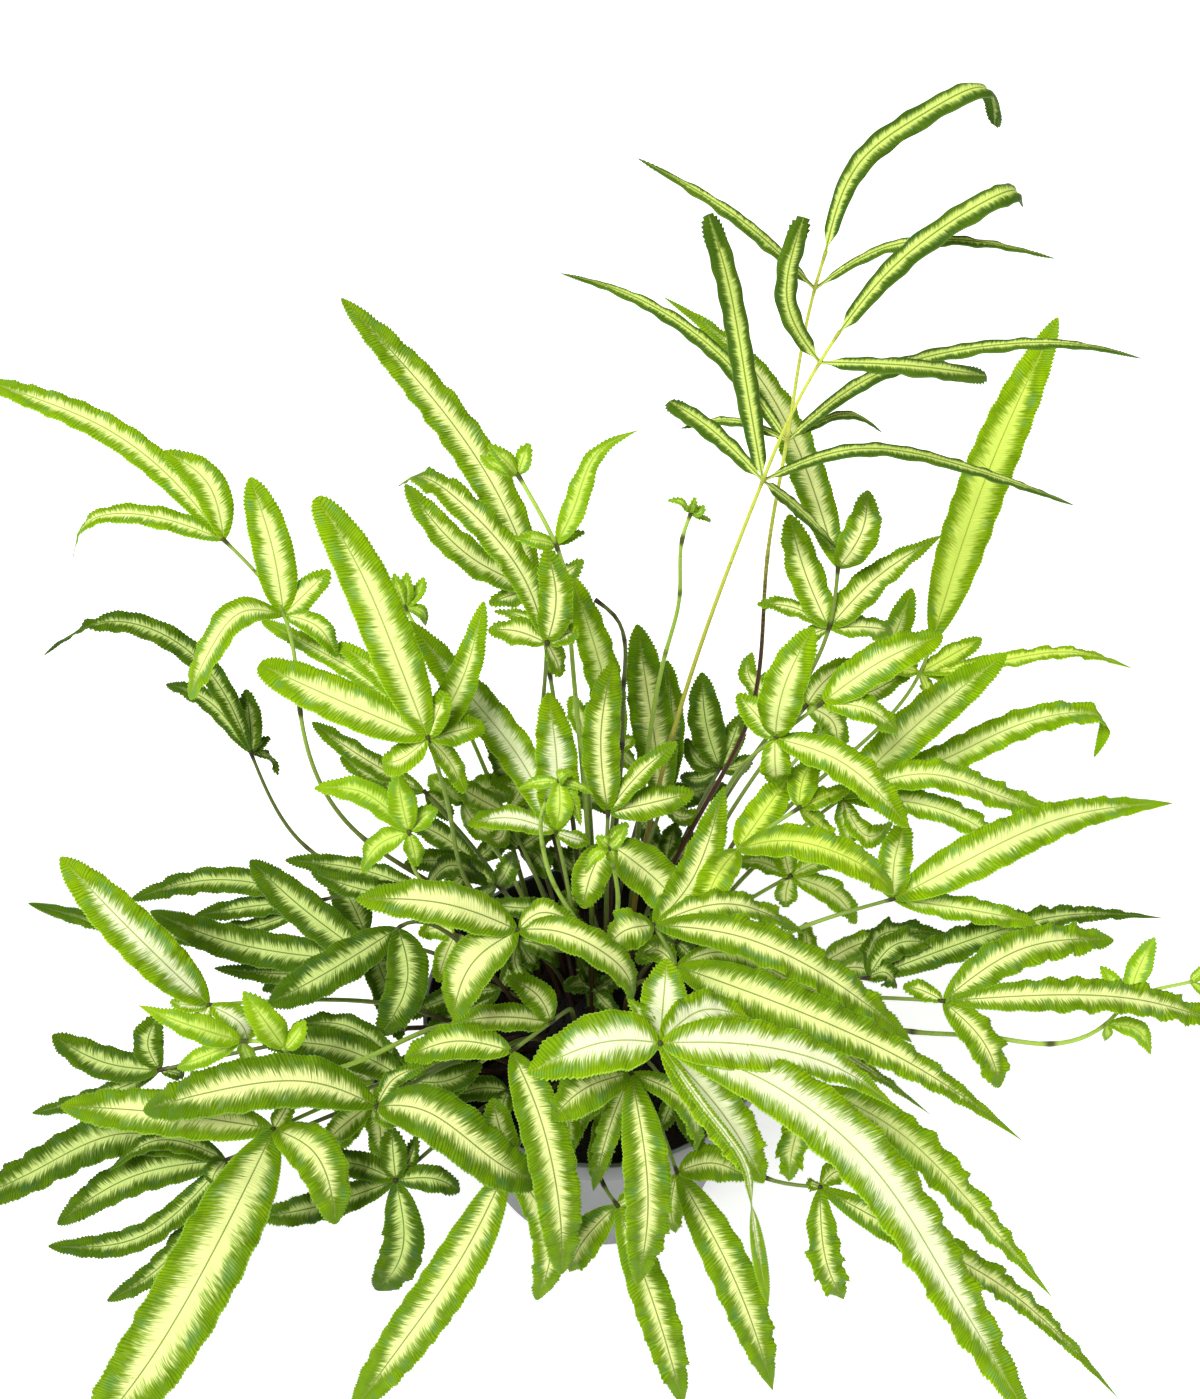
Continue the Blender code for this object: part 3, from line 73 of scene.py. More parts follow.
# Each frond: its name, its colour, the points that its stalk passes from the lowest seen one up, and its
# leaflets. A point is its place x, y as the eye sees it and its height in millimetres. A leaflet is the
# stalk's point that it grows from, its greatest width in millimetres, its kind, and its points to the tip.
FRONDS = [
    ("tall_a", "dark", [(671, 740, 218), (763, 480, 335), (820, 362, 386), (838, 334, 396)], [
        (1, 8.5, STRAP, (745, 375, 362), (724, 265, 388), (708, 214, 402)),
        (1, 7.5, STRAP, (712, 430, 338), (669, 401, 334)),
        (1, 5.5, RIBBON, (856, 449, 345), (960, 465, 342), (1074, 505, 312)),
        (1, 6.5, RIBBON, (798, 508, 318), (838, 549, 296)),
        (2, 7.5, STRAP, (787, 298, 408), (804, 217, 430)),
        (2, 6.5, STRAP, (900, 365, 392), (987, 376, 378)),
        (3, 8.0, STRAP, (910, 252, 420), (1006, 192, 436), (1018, 199, 424))]),
    ("tall_b", "dark", [(716, 786, 180), (750, 715, 216), (767, 560, 290), (787, 440, 342),
            (815, 288, 402), (825, 254, 414)], [
        (3, 6.5, RIBBON, (722, 357, 362), (647, 303, 372), (561, 273, 366)),
        (3, 5.0, RIBBON, (738, 421, 342), (681, 428, 332)),
        (3, 6.0, RIBBON, (862, 382, 362), (960, 350, 378), (1060, 343, 384), (1141, 358, 372)),
        (3, 4.5, RIBBON, (845, 414, 348), (882, 432, 336)),
        (4, 5.5, RIBBON, (738, 218, 424), (638, 158, 432)),
        (4, 4.5, RIBBON, (884, 248, 414), (960, 240, 420), (1054, 258, 410)),
        (5, 7.5, STRAP, (858, 165, 436), (925, 113, 452), (975, 88, 456), (995, 125, 436))]),
    ("right_mid", "green", [(829, 628, 270), (838, 568, 294)], [
        (0, 13, STRAP, (805, 572, 282), (789, 514, 296)),
        (0, 6.5, OVATE, (795, 608, 274), (757, 604, 276)),
        (0, 12, SPEAR, (874, 580, 286), (942, 535, 296)),
        (0, 8.5, OVATE, (862, 627, 272), (893, 632, 262)),
        (0, 6, OVATE, (805, 638, 264), (790, 652, 256)),
        (1, 12.5, OVATE, (864, 525, 300), (868, 490, 310)),
        (1, 13, SPEAR, (805, 466, 312), (745, 360, 330), (664, 297, 338))]),
    ("back_right", "bright", [(920, 673, 212), (932, 642, 224)], [
        (1, 19, STRAP, (985, 480, 268), (1058, 317, 318)),
        (0, 8.5, OVATE, (950, 656, 216), (982, 638, 216)),
        (0, 7, OVATE, (948, 670, 210), (978, 661, 208)),
        (0, 7.5, OVATE, (895, 666, 214), (866, 671, 206)),
        (0, 6.5, SPEAR, (990, 663, 216), (1060, 652, 214), (1132, 668, 196)),
        (0, 5, OVATE, (926, 684, 204), (929, 698, 196))]),
    ("upper_left", "bright", [(368, 842, 185), (300, 710, 245), (284, 615, 270), (224, 540, 292)], [
        (2, 14.5, STRAP, (273, 550, 288), (250, 477, 304)),
        (2, 10.5, OVATE, (307, 592, 276), (330, 570, 280)),
        (2, 12.5, STRAP, (240, 613, 278), (213, 645, 268), (189, 698, 240)),
        (2, 8.5, OVATE, (318, 627, 270), (337, 657, 258)),
        (3, 11, STRAP, (175, 482, 304), (105, 428, 314), (35, 398, 316), (-22, 378, 308)),
        (3, 12.5, OVATE, (210, 487, 306), (163, 451, 310)),
        (3, 8.5, SPEAR, (150, 516, 300), (90, 521, 298), (72, 566, 280))]),
    ("dark_left", "dark", [(304, 845, 165), (251, 753, 198)], [
        (1, 9, STRAP, (228, 700, 216), (185, 648, 236), (105, 622, 246), (44, 655, 236)),
        (1, 7.5, STRAP, (212, 704, 206), (166, 684, 200)),
        (1, 9.5, OVATE, (250, 722, 204), (246, 689, 212)),
        (1, 5, OVATE, (262, 742, 196), (270, 737, 196)),
        (1, 3, OVATE, (270, 757, 190), (278, 775, 182))]),
    ("left_star", "bright", [(480, 900, 160), (452, 825, 205), (428, 738, 262)], [
        (2, 17, STRAP, (392, 645, 292), (352, 555, 314), (316, 497, 326)),
        (2, 16, STRAP, (345, 703, 272), (259, 664, 270)),
        (2, 9, OVATE, (439, 708, 270), (446, 692, 274)),
        (2, 10.5, OVATE, (457, 731, 258), (484, 724, 254)),
        (2, 11, OVATE, (405, 757, 256), (382, 764, 248)),
        (2, 13, SPEAR, (464, 675, 262), (484, 601, 280)),
        (2, 8, RIBBON, (385, 692, 256), (320, 651, 250), (262, 620, 240)),
        (2, 9, STRAP, (392, 685, 258), (338, 643, 262)),
        (2, 8, OVATE, (450, 762, 246), (465, 792, 232))]),
    ("back_a", "green", [(552, 830, 168), (544, 690, 262), (547, 643, 300)], [
        (2, 10, STRAP, (524, 578, 322), (470, 511, 340), (425, 478, 342), (399, 486, 330)),
        (2, 11.5, STRAP, (556, 592, 320), (546, 547, 334)),
        (2, 9.5, OVATE, (516, 631, 304), (488, 630, 302)),
        (2, 8.5, OVATE, (565, 634, 304), (579, 632, 306)),
        (2, 7.5, OVATE, (556, 660, 292), (561, 676, 284)),
        (2, 4, RIBBON, (520, 616, 298), (494, 611, 298))]),
    ("back_b", "young", [(570, 625, 285), (556, 545, 328), (518, 475, 352)], [
        (1, 8, SPEAR, (576, 503, 340), (596, 455, 350), (638, 430, 354)),
        (1, 6, OVATE, (536, 540, 334), (515, 538, 336)),
        (1, 3.5, OVATE, (573, 535, 328), (585, 532, 328)),
        (2, 6, OVATE, (503, 458, 360), (488, 444, 364)),
        (2, 5.5, OVATE, (522, 462, 356), (529, 443, 360)),
        (2, 4, OVATE, (498, 467, 348), (480, 455, 346))]),
    ("back_c", "green", [(550, 675, 232), (538, 590, 276)], [
        (1, 14.5, STRAP, (500, 498, 306), (430, 395, 330), (341, 298, 350)),
        (1, 11.5, STRAP, (475, 560, 286), (405, 484, 300)),
        (1, 8.5, OVATE, (512, 595, 274), (489, 604, 272)),
        (1, 7.5, OVATE, (566, 573, 282), (584, 560, 286))]),
    ("back_d", "green", [(620, 750, 196)], [
        (0, 13.5, STRAP, (596, 650, 236), (570, 573, 266)),
        (0, 6, OVATE, (628, 742, 198), (634, 738, 198)),
        (0, 7, OVATE, (630, 762, 190), (640, 768, 184)),
        (0, 6, OVATE, (600, 735, 196), (590, 715, 200))]),
    ("middle_a", "green", [(607, 842, 212), (608, 812, 226)], [
        (1, 13.5, STRAP, (601, 735, 252), (613, 662, 276)),
        (1, 8, STRAP, (640, 773, 238), (677, 742, 248)),
        (1, 12, OVATE, (655, 802, 226), (694, 792, 224)),
        (0, 13.5, OVATE, (592, 872, 208), (583, 908, 194)),
        (0, 17.5, STRAP, (652, 876, 210), (698, 926, 196)),
        (0, 6, OVATE, (618, 834, 218), (628, 823, 222))]),
    ("back_e", "dark", [(664, 800, 170)], [
        (0, 17, STRAP, (651, 715, 206), (637, 624, 244)),
        (0, 10, STRAP, (672, 730, 188), (667, 660, 212)),
        (0, 8, OVATE, (676, 815, 164), (700, 812, 158))]),
    ("back_f", "dark", [(720, 768, 170)], [
        (0, 14.5, OVATE, (707, 728, 184), (702, 672, 202)),
        (0, 9.5, OVATE, (732, 741, 176), (741, 714, 184)),
        (0, 8, OVATE, (738, 766, 168), (752, 756, 168)),
        (0, 9, OVATE, (700, 762, 164), (686, 738, 166)),
        (0, 7, OVATE, (703, 778, 164), (680, 776, 158))]),
    ("young_back", "young", [(665, 655, 232), (680, 590, 266), (682, 540, 288), (691, 513, 300)], [
        (3, 2.4, RIBBON, (682, 503, 304), (668, 500, 304)),
        (3, 3.2, OVATE, (693, 505, 306), (695, 497, 309)),
        (3, 3.4, OVATE, (700, 511, 302), (704, 505, 304)),
        (3, 2.4, OVATE, (701, 517, 298), (711, 520, 294))]),
    ("bare_stem", "dark", [(622, 745, 214), (624, 680, 246), (624, 637, 266), (612, 613, 277),
            (597, 601, 280)], []),
    ("young_left", "young", [(405, 607, 238)], [
        (0, 5, OVATE, (399, 592, 244), (394, 573, 250)),
        (0, 5.5, OVATE, (406, 590, 244), (407, 572, 250)),
        (0, 5.5, OVATE, (415, 596, 240), (424, 577, 244)),
        (0, 5, OVATE, (420, 611, 236), (426, 625, 228))]),
    ("young_mid_a", "young", [(583, 932, 165), (553, 882, 190), (543, 848, 206), (547, 800, 238),
            (559, 781, 250)], [
        (4, 4.5, SPEAR, (540, 782, 250), (517, 789, 244)),
        (4, 9, OVATE, (560, 805, 246), (556, 829, 236)),
        (4, 5, SPEAR, (573, 803, 246), (581, 826, 236)),
        (4, 4, SPEAR, (577, 785, 250), (593, 794, 246)),
        (4, 4.5, OVATE, (562, 775, 256), (572, 771, 256))]),
    ("young_mid_b", "young", [(618, 900, 196), (613, 865, 226), (609, 847, 240)], [
        (2, 4, SPEAR, (600, 852, 240), (585, 874, 228)),
        (2, 4.5, OVATE, (604, 842, 244), (596, 836, 246)),
        (2, 4, SPEAR, (612, 855, 236), (616, 864, 230)),
        (2, 4.5, OVATE, (618, 840, 246), (626, 826, 250))]),
    ("middle_b", "green", [(556, 832, 200)], [
        (0, 15.5, STRAP, (557, 765, 226), (548, 692, 248)),
        (0, 9.5, OVATE, (510, 818, 206), (467, 824, 200)),
        (0, 14.5, STRAP, (524, 765, 218), (465, 690, 240), (409, 621, 258)),
        (0, 6, OVATE, (572, 838, 198), (590, 842, 194))]),
    ("young_star", "young", [(425, 885, 180), (409, 832, 216)], [
        (1, 10, STRAP, (362, 792, 228), (314, 788, 226)),
        (1, 10.5, OVATE, (402, 802, 226), (397, 772, 234)),
        (1, 8.5, OVATE, (424, 816, 218), (438, 809, 220)),
        (1, 9.5, STRAP, (380, 844, 208), (362, 872, 192)),
        (1, 7, OVATE, (414, 850, 208), (417, 866, 200))]),
    ("left_a", "dark", [(398, 928, 186), (372, 960, 180)], [
        (0, 15.5, STRAP, (338, 966, 186), (268, 1004, 166)),
        (0, 15.5, STRAP, (408, 972, 184), (380, 1036, 158)),
        (1, 14.5, STRAP, (300, 906, 182), (250, 860, 180)),
        (1, 14, STRAP, (320, 957, 168), (238, 944, 164), (150, 911, 156)),
        (1, 9, OVATE, (290, 974, 152), (214, 968, 146))]),
    ("left_b", "dark", [(425, 893, 166), (322, 900, 160)], [
        (0, 9.5, STRAP, (370, 891, 178), (311, 872, 180)),
        (0, 9, STRAP, (370, 872, 164), (285, 860, 160)),
        (0, 9, STRAP, (448, 866, 168), (490, 884, 162)),
        (1, 10.5, STRAP, (210, 880, 160), (130, 900, 150)),
        (1, 9, STRAP, (255, 906, 152), (194, 916, 144)),
        (1, 8.5, STRAP, (220, 934, 136), (120, 926, 128), (28, 903, 116))]),
    ("left_c", "bright", [(209, 1005, 180)], [
        (0, 17, STRAP, (145, 944, 206), (60, 857, 218)),
        (0, 10.5, OVATE, (237, 1020, 176), (246, 1046, 158)),
        (0, 5, OVATE, (188, 1005, 178), (170, 1001, 176)),
        (0, 6, OVATE, (204, 1014, 174), (198, 1024, 168))]),
    ("young_bottom", "young", [(291, 1057, 196), (285, 1049, 200), (242, 1041, 206)], [
        (1, 10.5, OVATE, (266, 1022, 214), (243, 991, 222)),
        (1, 6.5, OVATE, (296, 1036, 206), (305, 1020, 210)),
        (2, 9.5, SPEAR, (192, 1026, 216), (138, 1005, 214)),
        (2, 7, OVATE, (212, 1053, 202), (177, 1068, 190)),
        (2, 6, OVATE, (250, 1060, 190), (256, 1072, 180))]),
    ("left_d", "dark", [(160, 1070, 140)], [
        (0, 12, OVATE, (148, 1045, 148), (160, 1014, 158)),
        (0, 12.5, STRAP, (110, 1064, 138), (52, 1035, 136)),
        (0, 5, OVATE, (172, 1072, 138), (184, 1076, 132)),
        (0, 7, RIBBON, (120, 1088, 128), (32, 1113, 104))]),
    ("left_e", "green", [(377, 1106, 192)], [
        (0, 18, STRAP, (310, 1082, 206), (225, 1089, 204), (143, 1110, 182)),
        (0, 18, STRAP, (432, 1114, 204), (490, 1157, 192), (541, 1183, 168)),
        (0, 6, OVATE, (395, 1078, 190), (424, 1067, 186)),
        (0, 6, OVATE, (386, 1118, 184), (398, 1124, 178))]),
    ("left_f", "green", [(274, 1129, 170)], [
        (0, 16, STRAP, (165, 1113, 168), (61, 1106, 154)),
        (0, 25, STRAP, (222, 1235, 178), (160, 1345, 160), (78, 1450, 118)),
        (0, 16.5, STRAP, (312, 1150, 176), (336, 1224, 146)),
        (0, 7.5, OVATE, (284, 1112, 174), (291, 1098, 176)),
        (0, 8, OVATE, (262, 1152, 156), (270, 1172, 144))]),
    ("left_g", "dark", [(226, 1160, 118)], [
        (0, 17, STRAP, (120, 1134, 126), (40, 1168, 116), (-48, 1206, 92)),
        (0, 14.5, STRAP, (146, 1172, 112), (57, 1224, 86)),
        (0, 8.5, SPEAR, (160, 1140, 130), (109, 1171, 118)),
        (0, 9.5, OVATE, (217, 1170, 118), (212, 1184, 110)),
        (0, 10, STRAP, (150, 1232, 94), (48, 1246, 72)),
        (0, 9.5, STRAP, (170, 1257, 84), (107, 1301, 56))]),
    ("left_h", "green", [(396, 1180, 142)], [
        (0, 11, STRAP, (330, 1203, 132), (258, 1217, 112)),
        (0, 9.5, STRAP, (360, 1165, 146), (312, 1166, 138)),
        (0, 10, OVATE, (393, 1150, 150), (392, 1127, 154)),
        (0, 5.5, OVATE, (410, 1158, 144), (416, 1136, 146)),
        (0, 9.5, OVATE, (430, 1178, 142), (460, 1191, 130)),
        (0, 15.5, STRAP, (404, 1230, 128), (376, 1290, 88))]),
    ("left_i", "dark", [(408, 1080, 158)], [
        (0, 12.5, STRAP, (350, 1051, 168), (262, 1043, 160)),
        (0, 9, STRAP, (350, 1027, 160), (292, 1025, 152)),
        (0, 10, OVATE, (440, 1082, 158), (482, 1064, 156))]),
    ("middle_c", "green", [(551, 1022, 186), (512, 1051, 190)], [
        (0, 9.5, STRAP, (500, 1017, 198), (451, 1023, 190)),
        (0, 10.5, OVATE, (534, 992, 200), (506, 977, 204)),
        (1, 12.5, STRAP, (462, 1041, 198), (404, 1059, 182)),
        (1, 16, STRAP, (541, 1120, 196), (557, 1190, 172), (562, 1274, 126))]),
    ("front_a", "green", [(508, 1165, 158)], [
        (0, 17.5, STRAP, (470, 1243, 152), (418, 1322, 122), (352, 1412, 72)),
        (0, 13, STRAP, (536, 1200, 150), (537, 1300, 98)),
        (0, 11, OVATE, (500, 1130, 162), (492, 1098, 166))]),
    ("front_star", "bright", [(590, 960, 150), (560, 950, 200), (518, 930, 242)], [
        (2, 14.5, STRAP, (446, 904, 258), (356, 899, 252)),
        (2, 16, STRAP, (480, 955, 244), (453, 1019, 216)),
        (2, 11, STRAP, (570, 935, 256), (619, 965, 242), (631, 1006, 214)),
        (2, 9, OVATE, (540, 913, 250), (578, 924, 244))]),
    ("front_big", "bright", [(660, 1043, 236)], [
        (0, 19, STRAP, (600, 1043, 252), (527, 1073, 238)),
        (0, 12.5, STRAP, (700, 1011, 246), (749, 1019, 236)),
        (0, 16, SPEAR, (760, 1046, 250), (838, 1068, 240), (898, 1110, 220)),
        (0, 19, STRAP, (760, 1078, 246), (862, 1155, 234), (940, 1268, 206), (1036, 1430, 158)),
        (0, 15, OVATE, (664, 995, 246), (667, 958, 250)),
        (0, 5, OVATE, (643, 1015, 244), (628, 999, 246)),
        (0, 16, STRAP, (712, 1100, 222), (764, 1183, 182)),
        (0, 7.5, SPEAR, (705, 1108, 230), (744, 1163, 206), (751, 1200, 186), (768, 1304, 134))]),
    ("front_long", "green", [(676, 966, 204), (654, 925, 220)], [
        (0, 17, SPEAR, (765, 998, 222), (895, 1055, 206), (1023, 1141, 168)),
        (0, 9, STRAP, (720, 952, 198), (800, 985, 186), (868, 1024, 166)),
        (0, 8, OVATE, (655, 950, 198), (640, 958, 190)),
        (0, 7, SPEAR, (830, 1045, 190), (930, 1114, 150)),
        (1, 14, STRAP, (745, 938, 232), (835, 982, 218), (912, 1042, 190)),
        (1, 14.5, OVATE, (632, 928, 222), (609, 946, 208)),
        (1, 14, STRAP, (692, 880, 216), (724, 786, 232)),
        (1, 9.5, STRAP, (730, 904, 212), (804, 933, 196))]),
    ("front_b", "green", [(631, 1073, 212)], [
        (0, 15.5, OVATE, (594, 1084, 214), (551, 1121, 194)),
        (0, 15.5, STRAP, (643, 1140, 206), (648, 1210, 178), (637, 1286, 132)),
        (0, 9, STRAP, (674, 1092, 204), (697, 1151, 168)),
        (0, 8, STRAP, (612, 1120, 180), (593, 1191, 132))]),
    ("front_c", "green", [(677, 1172, 146)], [
        (0, 12.5, OVATE, (710, 1163, 154), (750, 1180, 142)),
        (0, 15.5, STRAP, (718, 1245, 140), (773, 1391, 78)),
        (0, 9.5, OVATE, (671, 1206, 130), (676, 1233, 110))]),
    ("front_d", "green", [(603, 1184, 130), (617, 1205, 134)], [
        (1, 13, OVATE, (594, 1228, 128), (569, 1272, 98)),
        (1, 14.5, STRAP, (640, 1265, 122), (684, 1408, 56)),
        (1, 6, OVATE, (628, 1199, 136), (634, 1190, 140))]),
    ("right_front_a", "green", [(816, 1087, 172)], [
        (0, 14.5, SPEAR, (892, 1127, 174), (968, 1200, 154), (1053, 1298, 112)),
        (0, 10.5, STRAP, (799, 1126, 162), (789, 1181, 134)),
        (0, 9.5, STRAP, (875, 1142, 160), (921, 1182, 138))]),
    ("right_front_b", "green", [(766, 1178, 126), (820, 1187, 128)], [
        (1, 12.5, OVATE, (822, 1236, 120), (844, 1299, 82)),
        (1, 12.5, SPEAR, (893, 1227, 134), (990, 1278, 110), (1121, 1401, 58)),
        (1, 8, OVATE, (838, 1171, 134), (866, 1179, 130)),
        (1, 4, OVATE, (812, 1184, 130), (806, 1184, 130))]),
    ("right_a", "bright", [(893, 899, 188)], [
        (0, 12.5, STRAP, (895, 858, 200), (906, 822, 208)),
        (0, 17, SPEAR, (960, 864, 202), (1050, 822, 204), (1173, 803, 186)),
        (0, 9.5, STRAP, (965, 909, 182), (1036, 923, 166))]),
    ("right_b", "bright", [(738, 849, 222), (799, 808, 226)], [
        (0, 12.5, STRAP, (800, 842, 240), (862, 865, 232), (894, 893, 214)),
        (0, 12, STRAP, (717, 876, 222), (702, 924, 204)),
        (0, 13, STRAP, (764, 812, 216), (795, 768, 224)),
        (1, 11, OVATE, (803, 780, 234), (816, 756, 242)),
        (1, 7, OVATE, (826, 796, 226), (850, 788, 226)),
        (1, 8, OVATE, (820, 826, 218), (836, 842, 208))]),
    ("right_star", "bright", [(722, 798, 196), (775, 738, 254), (822, 703, 268)], [
        (1, 15, STRAP, (786, 682, 279), (813, 627, 295)),
        (1, 10.5, OVATE, (755, 713, 260), (737, 694, 264)),
        (1, 11, OVATE, (775, 760, 246), (777, 782, 232)),
        (1, 13.5, STRAP, (838, 760, 256), (908, 827, 236)),
        (2, 14, STRAP, (880, 662, 284), (943, 635, 284)),
        (2, 10, OVATE, (861, 707, 272), (898, 732, 258))]),
    ("right_c", "green", [(842, 798, 214)], [
        (0, 16, STRAP, (920, 722, 236), (1007, 653, 250)),
        (0, 11.5, STRAP, (925, 774, 228), (1000, 796, 216), (1057, 812, 198)),
        (0, 10.5, STRAP, (915, 803, 214), (980, 828, 200), (1013, 859, 180)),
        (0, 9, OVATE, (848, 822, 212), (850, 845, 200)),
        (0, 8.5, OVATE, (868, 836, 206), (893, 822, 204)),
        (0, 12.5, STRAP, (960, 752, 206), (1050, 716, 206), (1104, 724, 196), (1094, 757, 184))]),
    ("right_d", "bright", [(943, 1001, 162)], [
        (0, 14.5, STRAP, (1010, 954, 172), (1114, 940, 160)),
        (0, 12.5, STRAP, (1050, 995, 168), (1140, 1000, 158), (1238, 1030, 134)),
        (0, 13, STRAP, (976, 1032, 160), (1000, 1087, 134)),
        (0, 7, OVATE, (921, 990, 162), (903, 986, 160))]),
    ("right_e", "dark", [(868, 978, 164)], [
        (0, 12, SPEAR, (970, 940, 168), (1060, 916, 162), (1164, 918, 144)),
        (0, 10, STRAP, (890, 948, 172), (942, 946, 164)),
        (0, 8, OVATE, (883, 972, 168), (897, 988, 160)),
        (0, 9, STRAP, (880, 936, 158), (950, 935, 150))]),
    ("young_right", "young", [(915, 1032, 128), (990, 1037, 136), (1048, 1044, 138),
            (1106, 1024, 136), (1128, 1002, 134), (1190, 982, 126),
        (1226, 970, 120)], [
        (3, 8, OVATE, (1134, 1028, 136), (1151, 1054, 124)),
        (3, 4.5, OVATE, (1107, 1032, 132), (1108, 1039, 126)),
        (4, 9.5, OVATE, (1138, 970, 142), (1155, 937, 150)),
        (4, 6, OVATE, (1114, 982, 136), (1100, 966, 140)),
        (5, 4, OVATE, (1198, 974, 128), (1206, 964, 130)),
        (5, 4, OVATE, (1200, 988, 124), (1212, 992, 120)),
        (6, 4, OVATE, (1236, 962, 120), (1246, 950, 120))]),
    ("right_small", "bright", [(790, 876, 182)], [
        (0, 6.5, STRAP, (764, 863, 182), (734, 862, 176)),
        (0, 8.5, OVATE, (786, 860, 186), (783, 848, 190)),
        (0, 6.5, STRAP, (820, 862, 184), (842, 862, 180)),
        (0, 10.5, OVATE, (829, 891, 178), (857, 923, 160)),
        (0, 8.5, OVATE, (786, 893, 174), (786, 907, 166))]),
    ("left_j", "dark", [(425, 792, 186)], [
        (0, 8.5, STRAP, (375, 765, 192), (312, 722, 194)),
        (0, 8, STRAP, (380, 778, 184), (340, 757, 180)),
        (0, 8, OVATE, (440, 805, 178), (452, 820, 170))]),
    ("middle_d", "green", [(505, 812, 178)], [
        (0, 10, OVATE, (468, 792, 194), (448, 778, 202)),
        (0, 9, STRAP, (520, 790, 186), (490, 782, 190)),
        (0, 8, OVATE, (500, 838, 168), (484, 838, 164)),
        (0, 8, STRAP, (525, 828, 172), (545, 850, 160))]),
    ("under_right", "bright", [(850, 700, 196)], [
        (0, 12, STRAP, (888, 648, 212), (912, 588, 224)),
        (0, 10, STRAP, (833, 716, 190), (818, 748, 178)),
        (0, 9, OVATE, (868, 690, 196), (884, 676, 198))]),
    ("under_far_right", "green", [(820, 965, 124)], [
        (0, 10, STRAP, (850, 948, 128), (890, 935, 126)),
        (0, 10, OVATE, (835, 985, 122), (842, 1008, 116)),
        (0, 8, OVATE, (808, 945, 126), (806, 922, 128))]),
    ("under_left", "green", [(366, 935, 140)], [
        (0, 14, OVATE, (352, 903, 146), (330, 868, 148)),
        (0, 13, STRAP, (386, 985, 132), (400, 1040, 116)),
        (0, 11, STRAP, (318, 962, 130), (262, 990, 116))]),
    ("under_front_left", "green", [(376, 1082, 112)], [
        (0, 14, STRAP, (352, 1114, 110), (336, 1150, 98)),
        (0, 11, OVATE, (412, 1068, 116), (440, 1060, 116)),
        (0, 10, OVATE, (350, 1066, 112), (320, 1062, 108))]),
    ("back_low_a", "dark", [(640, 812, 132)], [
        (0, 11, STRAP, (604, 800, 130), (566, 798, 122)),
        (0, 12, STRAP, (684, 795, 134), (728, 786, 126)),
        (0, 9, OVATE, (652, 838, 128), (668, 862, 124))]),
    ("back_low_b", "dark", [(475, 862, 128)], [
        (0, 11, STRAP, (445, 838, 130), (412, 822, 126)),
        (0, 10, OVATE, (498, 842, 132), (520, 826, 132)),
        (0, 9, OVATE, (456, 884, 124), (436, 900, 118))]),
]

